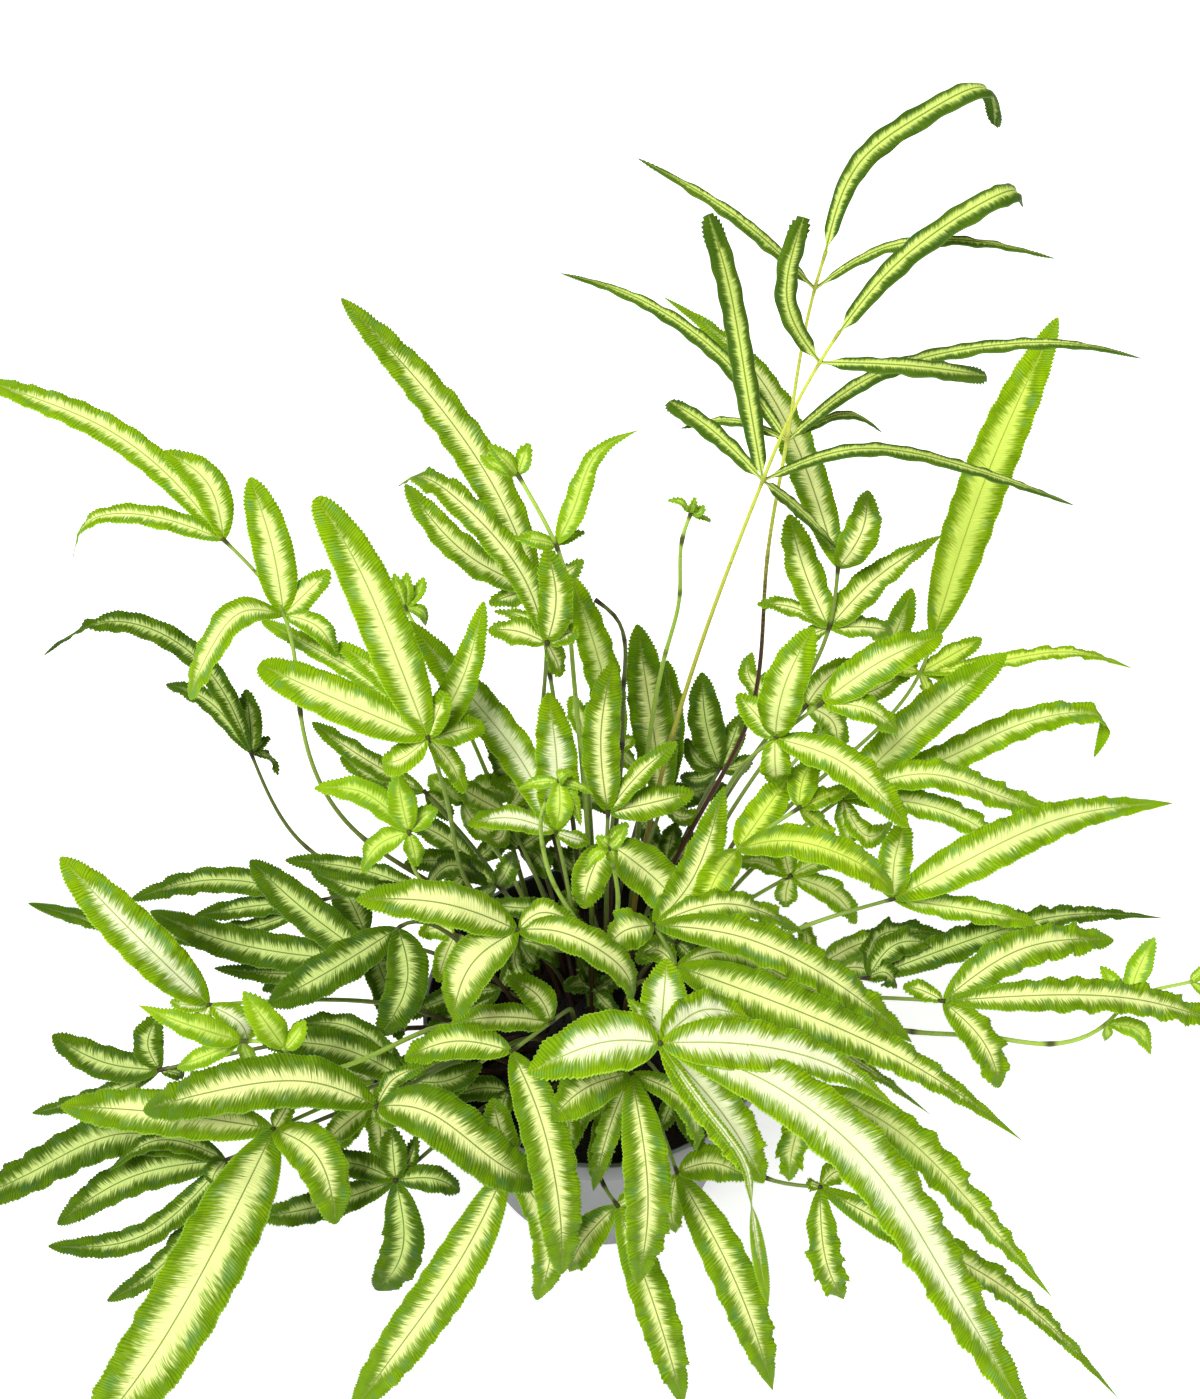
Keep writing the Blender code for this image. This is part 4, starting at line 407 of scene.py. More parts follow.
# Low fronds under the others, in the same form: they fill the pot's mouth and the gaps behind.
LOW = [
    ("low_a", "dark", [(501, 989, 130)], [
        (0, 9.0, STRAP, (452, 997, 132), (403, 1018, 126)),
        (0, 9.0, OVATE, (470, 1008, 126), (425, 1030, 120)),
        (0, 6.0, OVATE, (508, 975, 134), (512, 955, 138))]),
    ("low_b", "dark", [(497, 885, 160)], [
        (0, 10.0, STRAP, (450, 862, 164), (404, 864, 158)),
        (0, 8.5, OVATE, (508, 868, 168), (514, 852, 172)),
        (0, 8.0, OVATE, (475, 900, 150), (448, 912, 142))]),
    ("low_c", "dark", [(519, 940, 150)], [
        (0, 8.0, OVATE, (528, 955, 146), (539, 968, 140)),
        (0, 6.5, STRAP, (515, 962, 140), (532, 990, 130)),
        (0, 8.0, OVATE, (548, 950, 146), (560, 966, 140)),
        (0, 7.0, OVATE, (500, 935, 150), (488, 925, 152))]),
    ("low_d", "dark", [(558, 906, 160)], [
        (0, 8.0, STRAP, (522, 908, 160), (485, 903, 160)),
        (0, 8.0, OVATE, (575, 895, 164), (590, 880, 168)),
        (0, 7.0, OVATE, (572, 918, 154), (586, 932, 150))]),
    ("low_e", "dark", [(677, 942, 160)], [
        (0, 8.5, STRAP, (655, 948, 158), (636, 962, 152)),
        (0, 7.5, OVATE, (690, 955, 154), (702, 972, 148)),
        (0, 7.0, OVATE, (664, 925, 164), (650, 912, 168))]),
    ("low_f", "dark", [(595, 991, 126)], [
        (0, 7.5, OVATE, (580, 984, 128), (564, 990, 126)),
        (0, 7.5, OVATE, (590, 975, 132), (578, 958, 134)),
        (0, 8.0, OVATE, (606, 984, 128), (618, 972, 130)),
        (0, 7.0, OVATE, (604, 1002, 122), (618, 1014, 118))]),
    ("low_g", "green", [(471, 1069, 150)], [
        (0, 9.5, OVATE, (440, 1072, 148), (405, 1086, 140)),
        (0, 8.5, OVATE, (455, 1084, 142), (436, 1102, 134))]),
    ("low_h", "dark", [(508, 1090, 132)], [
        (0, 9.5, OVATE, (482, 1088, 132), (455, 1096, 128)),
        (0, 9.0, OVATE, (498, 1112, 124), (484, 1130, 118)),
        (0, 8.0, OVATE, (524, 1104, 126), (534, 1124, 120))]),
    ("low_i", "green", [(613, 1089, 130)], [
        (0, 9.5, STRAP, (606, 1125, 125), (599, 1160, 117), (594, 1180, 108)),
        (0, 8.0, OVATE, (596, 1100, 127), (578, 1120, 121), (572, 1150, 117)),
        (0, 7.0, OVATE, (630, 1102, 126), (642, 1122, 120))]),
    ("low_j", "dark", [(675, 1096, 130)], [
        (0, 8.0, STRAP, (688, 1120, 126), (701, 1150, 117)),
        (0, 7.0, OVATE, (668, 1112, 125), (660, 1132, 120))]),
    ("low_k", "bright", [(568, 1098, 132)], [
        (0, 8.0, STRAP, (569, 1128, 124), (566, 1158, 116)),
        (0, 6.0, OVATE, (552, 1110, 127), (540, 1126, 121))]),
    ("low_l", "bright", [(455, 935, 140)], [
        (0, 9.0, OVATE, (440, 928, 142), (418, 934, 140)),
        (0, 9.0, OVATE, (446, 955, 134), (438, 982, 126)),
        (0, 7.0, OVATE, (468, 950, 136), (480, 966, 130))]),
    ("low_m", "green", [(806, 706, 205)], [
        (0, 11.0, STRAP, (822, 684, 208), (852, 660, 214)),
        (0, 11.0, STRAP, (833, 722, 200), (836, 754, 190)),
        (0, 9.0, OVATE, (790, 690, 206), (762, 674, 210)),
        (0, 9.0, STRAP, (776, 700, 202), (748, 672, 206), (752, 652, 208)),
        (0, 9.0, STRAP, (870, 692, 205), (918, 664, 210))]),
    ("low_n", "dark", [(514, 792, 180)], [
        (0, 10.0, STRAP, (499, 745, 200), (489, 690, 216)),
        (0, 9.0, OVATE, (530, 806, 174), (548, 826, 166))]),
    ("low_o", "bright", [(462, 802, 172)], [
        (0, 12.0, OVATE, (494, 788, 178), (524, 802, 174)),
        (0, 9.0, OVATE, (446, 790, 174), (428, 776, 178)),
        (0, 9.0, OVATE, (480, 828, 164), (514, 838, 158))]),
    ("low_p", "dark", [(520, 848, 162)], [
        (0, 10.0, OVATE, (510, 838, 166), (500, 822, 170)),
        (0, 10.0, STRAP, (535, 852, 160), (546, 878, 154)),
        (0, 9.0, OVATE, (538, 836, 166), (556, 824, 170))]),
    ("low_q", "bright", [(585, 738, 205)], [
        (0, 8.0, OVATE, (578, 714, 212), (570, 696, 216)),
        (0, 7.0, OVATE, (588, 716, 210), (594, 700, 214))]),
    ("low_r", "dark", [(577, 872, 150)], [
        (0, 9.5, OVATE, (562, 860, 154), (545, 850, 158)),
        (0, 9.5, OVATE, (592, 860, 152), (606, 846, 156)),
        (0, 9.0, OVATE, (577, 852, 156), (580, 832, 162)),
        (0, 8.0, OVATE, (592, 884, 145), (606, 896, 140))]),
    ("low_s", "dark", [(668, 864, 150)], [
        (0, 9.5, OVATE, (655, 848, 156), (645, 828, 160)),
        (0, 9.5, OVATE, (684, 850, 154), (702, 834, 158)),
        (0, 9.0, OVATE, (670, 844, 158), (676, 822, 164)),
        (0, 8.0, OVATE, (650, 874, 146), (634, 880, 142))]),
    ("low_t", "green", [(372, 1104, 138)], [
        (0, 10.0, OVATE, (380, 1128, 130), (378, 1158, 118)),
        (0, 10.0, OVATE, (350, 1120, 132), (322, 1146, 120)),
        (0, 8.0, OVATE, (392, 1090, 138), (412, 1082, 138))]),
    ("low_u", "green", [(842, 968, 138)], [
        (0, 9.0, OVATE, (862, 968, 138), (884, 980, 134)),
        (0, 8.0, OVATE, (850, 984, 132), (866, 1006, 124))]),
    ("low_v", "dark", [(742, 968, 140)], [
        (0, 9.0, OVATE, (726, 955, 144), (712, 938, 148)),
        (0, 9.0, OVATE, (760, 960, 142), (776, 948, 146)),
        (0, 9.0, OVATE, (728, 982, 134), (712, 994, 130))]),
]

# The eye that the table of fronds is read from: it stands in front of the pot and looks down at it.
EYE = np.array((0.0, -0.384, 0.722))            # metres
EYE_TILT = math.radians(48.25)                  # down from level
EYE_REACH = 1800.0                              # picture points from the eye to the picture
EYE_MIDDLE = (600.0, 699.5)                     # the picture point straight ahead
AHEAD = np.array((0.0, math.cos(EYE_TILT), -math.sin(EYE_TILT)))
ACROSS = np.array((1.0, 0.0, 0.0))
ABOVE = np.array((0.0, math.sin(EYE_TILT), math.cos(EYE_TILT)))

# How fronds stand in the soil and keep clear of each other.
FOOT_SPACING = 0.0075
FOOT_REACH = 0.052                              # furthest foot from the pot's middle
STALK_WIDTH = 0.0022
FACING = np.array((0.0, -0.371, 0.928))         # what a blade's face turns to
BLADE_FOLD = 0.16                               # rise of a blade's edges, of half its width
CLEARANCE = 0.0045                              # between fronds, along the line of sight
SIBLING_SHARE = 0.35                            # of that, between leaflets of one frond
STALK_SHARE = 0.9                               # of that, beside a stalk
SAMPLES_ALONG, SAMPLES_ACROSS = 57, 9
SAMPLE_CELL = 7.0                               # picture points
SETTLE_ROUNDS = 110


def sight_line(x, y):
    """The direction from the eye through the picture point x, y."""
    return EYE_REACH * AHEAD + (x - EYE_MIDDLE[0]) * ACROSS - (y - EYE_MIDDLE[1]) * ABOVE


def unit(vectors):
    return vectors / np.maximum(np.linalg.norm(vectors, axis=-1, keepdims=True), 1e-9)


def soil_height(radius):
    """The soil's top: a low mound."""
    return SOIL_TOP + SOIL_MOUND * (1 - (np.asarray(radius) / SOIL_RADIUS) ** 2)


def spline_weights(knots, at):
    """A natural cubic spline through values at the knots, as a matrix: read at `at`."""
    count, at = len(knots), np.asarray(at, float)
    if count == 2:
        share = (at - knots[0]) / (knots[1] - knots[0])
        return np.stack((1 - share, share), axis=1)
    gap = np.diff(knots)
    left, right = np.zeros((count, count)), np.zeros((count, count))
    left[0, 0] = left[-1, -1] = 1.0
    for i in range(1, count - 1):
        left[i, i - 1:i + 2] = gap[i - 1], 2 * (gap[i - 1] + gap[i]), gap[i]
        right[i, i - 1:i + 2] = 6 / gap[i - 1], -6 / gap[i - 1] - 6 / gap[i], 6 / gap[i]
    bend = np.linalg.solve(left, right)
    i = np.clip(np.searchsorted(knots, at) - 1, 0, count - 2)
    before, after = (knots[i + 1] - at) / gap[i], (at - knots[i]) / gap[i]
    weights = (((before ** 3 - before) * gap[i] ** 2 / 6)[:, None] * bend[i]
               + ((after ** 3 - after) * gap[i] ** 2 / 6)[:, None] * bend[i + 1])
    rows = np.arange(len(at))
    weights[rows, i] += before
    weights[rows, i + 1] += after
    return weights


def blade_width(at, kind):
    """How wide a blade is at `at`, 0 at its root to 1 at its tip, as a share of its greatest width."""
    peak, rise, fall, power = kind
    root = 1 - (1 - np.clip(at / peak, 0, 1)) ** rise
    tip = (1 - np.clip((at - peak) / (1 - peak), 0, 1) ** fall) ** power
    return np.where(at < peak, root, tip)


def frond_feet(leans):
    """Where the stalks leave the soil: under their fronds, drawn in to the pot and spread apart."""
    reach = np.linalg.norm(leans, axis=1, keepdims=True)
    start = leans / np.maximum(reach, 1e-6) * np.clip(reach * 0.36, 0.004, 0.046) + (0.0, 0.004)
    feet = start.copy()
    for _ in range(400):
        for i in range(len(feet)):
            away = feet[i] - feet
            space = np.linalg.norm(away, axis=1)
            space[i] = 1.0
            near = space < FOOT_SPACING
            push = (FOOT_SPACING - space[near]) / np.maximum(space[near], 1e-6)
            feet[i] += 0.25 * (push[:, None] * away[near]).sum(axis=0)
        feet += (start - feet) * 0.01
        reach = np.linalg.norm(feet, axis=1, keepdims=True)
        feet = np.where(reach > FOOT_REACH, feet / reach * FOOT_REACH, feet)
    return feet


class Layout:
    """Where each stalk and leaflet lies. Each is a strip: a smooth line through control points that can
    move only to and from the eye, so that the picture keeps, and a width across it."""

    def __init__(self, fronds):
        self.lines_of_sight, self.reach, self.held = [], [], []
        self.strips = []                        # (frond, kind or None for a stalk, width, control points)
        lowest = [min(frond[2], key=lambda point: point[2]) for frond in fronds]
        self.feet = frond_feet(np.array([self.seen(*point)[:2] for point in lowest]))
        for number, (_, _, stalk, leaflets) in enumerate(fronds):
            x, y = self.feet[number]
            foot = np.array((x, y, float(soil_height(math.hypot(x, y))) + 0.0015))
            points = [self.add(foot, held=True)]
            first = self.seen(*stalk[0])
            if np.linalg.norm(first - foot) > 0.035:    # rises steeply, then arches out
                points.append(self.add(foot + (first - foot) * (0.38, 0.38, 0.60)))
            joints = [self.add(self.seen(*point)) for point in stalk]
            self.strips.append((number, None, STALK_WIDTH, points + joints))
            for joint, width, kind, *way in leaflets:
                points = [joints[joint]] + [self.add(self.seen(*point)) for point in way]
                self.strips.append((number, kind, width / 1000, points))
        self.lines_of_sight = np.array(self.lines_of_sight)
        self.reach, self.held = np.array(self.reach), np.array(self.held)
        self.frond = np.array([strip[0] for strip in self.strips])
        self.is_stalk = np.array([strip[1] is None for strip in self.strips])
        self.half_width = np.array([strip[2] for strip in self.strips]) / 2
        most = max(len(strip[3]) for strip in self.strips)
        self.index = np.array([strip[3] + [strip[3][0]] * (most - len(strip[3])) for strip in self.strips])
        self.third = np.array([strip[3][min(2, len(strip[3]) - 1)] for strip in self.strips])
        spot = self.spots()
        self.knots = []
        for strip in self.strips:
            run = np.linalg.norm(np.diff(spot[strip[3]], axis=0), axis=1)
            self.knots.append(np.concatenate(((0.0,), np.cumsum(run))) / run.sum())

    def seen(self, x, y, height):
        """The point at a height in millimetres that the eye sees at x, y."""
        line = sight_line(x, y)
        return EYE + line * ((height / 1000 - EYE[2]) / line[2])

    def add(self, spot, held=False):
        away = spot - EYE
        depth = away @ AHEAD
        self.lines_of_sight.append(away / depth * EYE_REACH)
        self.reach.append(depth / EYE_REACH)
        self.held.append(held)
        return len(self.reach) - 1

    def spots(self):
        return EYE + self.lines_of_sight * self.reach[:, None]

    def weights(self, rows, at):
        """The rows' weights on their control points at `at`: rows x places x points."""
        table = np.zeros((len(rows), len(at), self.index.shape[1]))
        for entry, row in zip(table, rows):
            entry[:, :len(self.knots[row])] = spline_weights(self.knots[row], at)
        return table

    def sampling(self, at, rows=None):
        """What `lines` needs to read strips at `at`, which doesn't change while they move."""
        at = np.asarray(at, float)
        rows = np.arange(len(self.strips)) if rows is None else np.asarray(rows)
        slope = self.weights(rows, np.minimum(at + 1e-3, 1)) - self.weights(rows, np.maximum(at - 1e-3, 0))
        share = [np.ones(len(at)) if self.is_stalk[row] else blade_width(at, self.strips[row][1])
                 for row in rows]
        return self.weights(rows, at), slope, np.array(share) * self.half_width[rows, None], rows

    def lines(self, sampling):
        """Each strip's middle line with its side, face and forward directions."""
        value, slope, _, rows = sampling
        spot = self.spots()
        corners = spot[self.index[rows]]
        middle, forward = value @ corners, unit(slope @ corners)
        chord = unit(spot[self.third[rows]] - corners[:, 0])
        side = np.cross(chord, FACING)
        upright = np.linalg.norm(side, axis=1) < 0.2
        side[upright] = np.cross(forward[upright].mean(axis=1), (0.0, -1.0, 0.2))
        side = unit(side)[:, None, :]
        side = unit(side - (forward * side).sum(axis=-1, keepdims=True) * forward)
        return middle, side, np.cross(side, forward), forward

    def surface(self, sampling, across):
        """Points over every strip: strips x places along x places across, -1 to 1."""
        middle, side, face, _ = self.lines(sampling)
        out = sampling[2][:, :, None, None] * np.asarray(across)[:, None]
        return (middle[:, :, None] + out * side[:, :, None]
                + BLADE_FOLD * np.abs(out) * face[:, :, None])

    def picture(self, points):
        away = points - EYE
        depth = away @ AHEAD
        return (EYE_MIDDLE[0] + EYE_REACH * (away @ ACROSS) / depth,
                EYE_MIDDLE[1] - EYE_REACH * (away @ ABOVE) / depth, depth)

    def meetings(self, sampling, across):
        """Where the eye sees one strip over another: both strips, the place along each, the depths."""
        x, y, depth = self.picture(self.surface(sampling, across))
        cell = (np.floor((y + 500) / SAMPLE_CELL) * 2000 + np.floor((x + 500) / SAMPLE_CELL)).astype(np.int64)
        count = len(self.strips)
        strip = np.broadcast_to(np.arange(count)[:, None, None], cell.shape)
        place = np.broadcast_to(np.arange(cell.shape[1])[None, :, None], cell.shape)
        both, back = np.unique(cell.ravel() * count + strip.ravel(), return_inverse=True)
        many = np.bincount(back.ravel())
        depth = np.bincount(back.ravel(), depth.ravel()) / many
        place = np.rint(np.bincount(back.ravel(), place.ravel()) / many).astype(int)
        cell, strip = both // count, (both % count).astype(int)
        first, second = [], []
        for step in range(1, 14):
            here = np.nonzero(cell[:-step] == cell[step:])[0]
            there = here + step
            apart = self.frond[strip[here]] != self.frond[strip[there]]
            sibling = (~apart & ~self.is_stalk[strip[here]] & ~self.is_stalk[strip[there]]
                       & (np.minimum(place[here], place[there]) > 0.36 * SAMPLES_ALONG))
            first.append(here[apart | sibling])
            second.append(there[apart | sibling])
        a, b = np.concatenate(first), np.concatenate(second)
        return strip[a], strip[b], place[a], place[b], depth[b] - depth[a]

    def settle(self, rounds=SETTLE_ROUNDS):
        """Bends fronds to and from the eye until none crosses another. The heights in the table say which
        of two is in front. They stay off the pot, and over the surface that it stands on."""
        across = np.linspace(-1, 1, SAMPLES_ACROSS)
        sampling = self.sampling(np.linspace(0, 1, SAMPLES_ALONG))
        typed, free, size = self.reach.copy(), 1.0 * ~self.held, len(self.reach)
        order = {}
        for _ in range(rounds):
            one, two, at_one, at_two, behind = self.meetings(sampling, across)
            pair, back = np.unique(one * len(self.strips) + two, return_inverse=True)
            back = back.ravel()
            usual = np.bincount(back, behind) / np.bincount(back)
            front = np.array([order.setdefault(int(key), 1.0 if far >= 0 else -1.0)
                              for key, far in zip(pair, usual)])[back]
            need = np.where(self.is_stalk[one] | self.is_stalk[two], STALK_SHARE, 1.0) * CLEARANCE
            need[self.frond[one] == self.frond[two]] = SIBLING_SHARE * CLEARANCE
            short = need - front * behind
            bad = short > 0
            one, two, at_one, at_two = one[bad], two[bad], at_one[bad], at_two[bad]
            short, front = short[bad], front[bad]
            pull = (sampling[0][one, at_one], sampling[0][two, at_two])
            loose = (free[self.index[one]], free[self.index[two]])
            stiff = sum((p ** 2 * l).sum(axis=1) for p, l in zip(pull, loose)) + 1e-9
            step = (front * np.minimum(short, 0.01) / stiff / EYE_REACH)[:, None]
            spot = np.concatenate((self.index[one].ravel(), self.index[two].ravel()))
            move = np.concatenate(((-step * pull[0] * loose[0]).ravel(), (step * pull[1] * loose[1]).ravel()))
            hits = np.abs(np.concatenate((pull[0].ravel(), pull[1].ravel())))
            self.reach += (1.3 * np.bincount(spot, move, size)
                           / np.maximum(np.bincount(spot, hits, size), 1))
            self.keep_off_pot(sampling, across, free)
            self.reach += (typed - self.reach) * 0.004
            self.reach = np.where(self.held, typed, self.reach)
            self.state = (one, two, short)
        return self

    def keep_off_pot(self, sampling, across, free):
        """Lifts what is under LOWEST, and leaflets and stalks that come close to the pot's wall or rim."""
        points = self.surface(sampling, across)
        height, reach = points[..., 2], np.linalg.norm(points[..., :2], axis=-1)
        stalk = self.is_stalk[:, None, None]
        over_pot = ~stalk & (height < RIM_HEIGHT + 0.012) & (reach < RIM_RADIUS + 0.008)
        on_rim = (stalk & (height < RIM_HEIGHT + 0.0035) & (reach > RIM_RADIUS - 0.0115)
                  & (reach < RIM_RADIUS + 0.008))
        lift = np.clip(LOWEST - height, 0, None)
        lift += np.where(over_pot, np.clip(RIM_HEIGHT + 0.012 - height, 0, 0.01), 0)
        lift = np.maximum(lift, np.where(on_rim, 0.004, 0)).max(axis=2)[..., None]
        spot = np.broadcast_to(self.index[:, None, :], sampling[0].shape).ravel()
        size = len(self.reach)
        move = np.bincount(spot, (-1.5 * lift * sampling[0] / EYE_REACH).ravel(), size)
        hits = np.bincount(spot, (np.abs(sampling[0]) * (lift > 0)).ravel(), size)
        self.reach += free * move / np.maximum(hits, 1)


# How a leaflet is made finer than its solid.
COLUMNS = (-1.0, -0.86, -0.45, 0.0, 0.45, 0.86, 1.0)    # places across it
GRID_PLACES = np.linspace(-1.0, 1.0, len(COLUMNS))
VEIN_SPACING = 1.0                             # millimetres between veins
VEIN_LEAN = 0.38                                # how far a vein runs to the tip, of its way out
GLOW_SHARE = 0.20                               # share of the light that comes through a blade
LEAF_SHINE = 0.03                               # how strongly a blade mirrors
STALK_SIDES = 8
JOINT_COLOUR = (0.022, 0.011, 0.007)
TONE_OF = {                                     # fronds with another tone than their solid's slot
    "tall_a": "fertile", "tall_b": "fertile_brown", "back_right": "golden", "right_b": "golden",
    "front_big": "white", "left_c": "white", "front_star": "green", "right_d": "green",
    "middle_b": "white", "right_c": "bright", "left_h": "dark", "left_e": "deep", "back_e": "deep",
    "left_j": "deep", "back_d": "bright", "right_front_a": "bright", "under_left": "dark",
    "low_t": "dark", "low_l": "dark"}
NECKS = {("front_big", 7): (0.60, 0.72)}        # leaflets drawn thin before a last small blade
LOW_ROUNDS = 60                                 # how often the low fronds are bent clear

# The form of a tone's leaflets: the share of the width that the blade and its band take, how full its
# root and its tip are, the waves of its edges, how far these roll back, how the halves arch.
PLAIN_FORM = {"slim": 0.95, "root": 0.72, "tip": 0.92, "bare": 0.0, "band": 0.47, "wave": 0.0011,
              "wave_run": 0.013, "sway": 0.00025, "roll": 0.5, "arch": 0.10, "taper": 0.38}
# Besides, a fertile leaflet has a bare stalklet and a wedge that widens to its even sides.
FERTILE_FORM = {**PLAIN_FORM, "slim": 0.92, "bare": 0.0016, "wedge": 0.005, "stem": 0.0005,
                "band": 0.42, "roll": 2.4, "arch": 0.14, "wave": 0.0003, "sway": 0.0002, "taper": 0.55}
# Each tone's colours besides the settings, and how strong its hairs, veins and dark joints are.
PLAIN = {"gloss": 0.34, "hair": 0.95, "veins": 0.80, "shade": 0.35, "turn": (0.15, 0.8), "joints": 0.85}
TONES = {
    "dark": {**PLAIN, "rib": (0.13, 0.20, 0.05), "low": (0.035, 0.018, 0.012),
             "high": (0.10, 0.13, 0.03), "form": {**PLAIN_FORM, "band": 0.34}},
    "green": {**PLAIN, "rib": (0.20, 0.28, 0.05), "low": (0.040, 0.020, 0.012),
              "high": (0.17, 0.24, 0.04), "form": {**PLAIN_FORM, "band": 0.40}},
    "deep": {**PLAIN, "rib": (0.20, 0.28, 0.05), "low": (0.040, 0.020, 0.012),
             "high": (0.14, 0.20, 0.04), "form": {**PLAIN_FORM, "band": 0.38}},
    "bright": {**PLAIN, "rib": (0.38, 0.50, 0.07), "low": (0.050, 0.026, 0.014),
               "high": (0.26, 0.38, 0.06), "form": {**PLAIN_FORM, "band": 0.40}},
    "golden": {**PLAIN, "rib": (0.44, 0.56, 0.05), "low": (0.050, 0.026, 0.014),
               "high": (0.26, 0.38, 0.06), "form": {**PLAIN_FORM, "band": 0.52}},
    "white": {**PLAIN, "rib": (0.38, 0.50, 0.07), "low": (0.050, 0.026, 0.014),
              "high": (0.26, 0.38, 0.06), "form": {**PLAIN_FORM, "band": 0.45}},
    "young": {**PLAIN, "rib": (0.40, 0.58, 0.06), "low": (0.10, 0.14, 0.02), "high": (0.38, 0.56, 0.08),
              "veins": 0.30, "shade": 0.1,
              "form": {**PLAIN_FORM, "band": 0.38, "wave": 0.0004, "root": 0.9, "tip": 1.1}},
    "fertile": {**PLAIN, "rib": (0.22, 0.30, 0.03), "low": (0.16, 0.12, 0.012),
                "high": (0.58, 0.64, 0.08), "hair": 0.55, "veins": 0.25, "shade": 0.20,
                "joints": 0.35, "form": FERTILE_FORM},
}
TONES["fertile_brown"] = {**TONES["fertile"], "as": "fertile", "low": (0.060, 0.028, 0.012),
                          "turn": (0.50, 0.75)}
FORMS = {                                       # fronds with their own form
    "front_long": {"wave": 0.0018, "tip": 1.25},
    "front_star": {"wave": 0.0005, "band": 0.50, "tip": 1.0},
    "front_big": {"wave": 0.0014, "tip": 1.1, "band": 0.46},
    "front_b": {"band": 0.26, "wave": 0.0014, "tip": 1.35},
    "front_c": {"band": 0.27, "wave": 0.0014, "tip": 1.5},
    "front_d": {"band": 0.27, "wave": 0.0016, "tip": 1.5},
    "right_front_a": {"wave": 0.0022, "sway": 0.0006, "tip": 1.25, "band": 0.33},
    "right_front_b": {"wave": 0.0022, "sway": 0.0006, "tip": 1.25, "band": 0.31},
    "right_e": {"wave": 0.0022, "sway": 0.0006, "tip": 1.2},
    "right_d": {"wave": 0.0017, "sway": 0.0006, "band": 0.33},
    "right_b": {"band": 0.30},
    "left_star": {"wave": 0.0007, "sway": 0.0001, "tip": 0.62, "band": 0.38},
    "upper_left": {"wave": 0.0006, "sway": 0.0001, "band": 0.40},
    "left_c": {"band": 0.40},
}


class Value:
    """A number that varies over a surface. An expression on values adds its Math nodes."""

    def __init__(self, recipe, socket):
        self.recipe, self.socket = recipe, socket

    def __add__(self, other):
        return self.recipe.maths("ADD", self, other)

    def __sub__(self, other):
        return self.recipe.maths("SUBTRACT", self, other)

    def __rsub__(self, other):
        return self.recipe.maths("SUBTRACT", other, self)

    def __mul__(self, other):
        return self.recipe.maths("MULTIPLY", self, other)

    def __truediv__(self, other):
        return self.recipe.maths("DIVIDE", self, other)

    def __abs__(self):
        return self.recipe.maths("ABSOLUTE", self)

    __radd__, __rmul__ = __add__, __mul__

    def sine(self):
        return self.recipe.maths("SINE", self)

    def step(self, low, high):
        """0 below `low`, 1 above `high` and smooth between."""
        ranged = self.recipe.node("MapRange", {"interpolation_type": "SMOOTHSTEP"},
                                  {"Value": self, "From Min": low, "From Max": high})
        return Value(self.recipe, ranged.outputs[0])


class Recipe:
    """The nodes of one material."""

    def __init__(self, name):
        self.material = bpy.data.materials.new(name)
        self.material.use_nodes = True
        self.tree = self.material.node_tree
        self.tree.nodes.clear()

    def node(self, kind, settings=None, inputs=None):
        """Any node: its settings first, a ramp's stops among them, then its sockets."""
        made = self.tree.nodes.new("ShaderNode" + kind)
        for setting, value in (settings or {}).items():
            if setting == "stops":
                while len(made.color_ramp.elements) < len(value):
                    made.color_ramp.elements.new(0.5)
                for element, (place, colour) in zip(made.color_ramp.elements, value):
                    element.position, element.color = place, (*colour, 1.0)
            else:
                setattr(made, setting, value)
        for socket, value in (inputs or {}).items():
            entry = made.inputs[socket]
            if isinstance(value, Value):
                self.tree.links.new(value.socket, entry)
            elif isinstance(value, bpy.types.NodeSocket):
                self.tree.links.new(value, entry)
            elif entry.type == "RGBA":
                entry.default_value = (*value, 1.0)
            else:
                entry.default_value = value
        return made

    def maths(self, operation, *values):
        made = self.node("Math", {"operation": operation}, dict(enumerate(values)))
        return Value(self, made.outputs[0])

    def mix(self, share, first, second, blend="MIX"):
        """Two colours mixed by a share."""
        made = self.node("Mix", {"data_type": "RGBA", "blend_type": blend},
                         {0: share, 6: first, 7: second})
        return made.outputs[2]

    def attribute(self, name):
        """The three numbers of a piece's attribute."""
        read = self.node("Attribute", {"attribute_name": name})
        split = self.node("SeparateXYZ", inputs={0: read.outputs["Vector"]})
        return [Value(self, socket) for socket in split.outputs]

    def vector(self, x, y, z):
        return self.node("CombineXYZ", inputs={0: x, 1: y, 2: z}).outputs[0]

    def noise(self, place, scale, detail=2.0, roughness=0.5):
        """Soft noise from 0 to 1 at a place."""
        made = self.node("TexNoise", inputs={"Vector": place, "Scale": scale, "Detail": detail,
                                             "Roughness": roughness})
        return Value(self, made.outputs[0])

    def place(self):
        """Where a point lies on the piece, in metres."""
        return self.node("TexCoord").outputs["Object"]

    def bump(self, height, distance, strength=1.0):
        return self.node("Bump", inputs={"Height": height, "Distance": distance,
                                         "Strength": strength}).outputs[0]

    def surface(self, colour, roughness, normal=None, **constants):
        """The material's Principled shader, straight to its output."""
        inputs = {"Base Color": colour, "Roughness": roughness, **constants}
        if normal:
            inputs["Normal"] = normal
        shader = self.node("BsdfPrincipled", inputs=inputs)
        self.output(shader.outputs[0])
        return shader

    def output(self, shader):
        self.node("OutputMaterial", inputs={"Surface": shader})


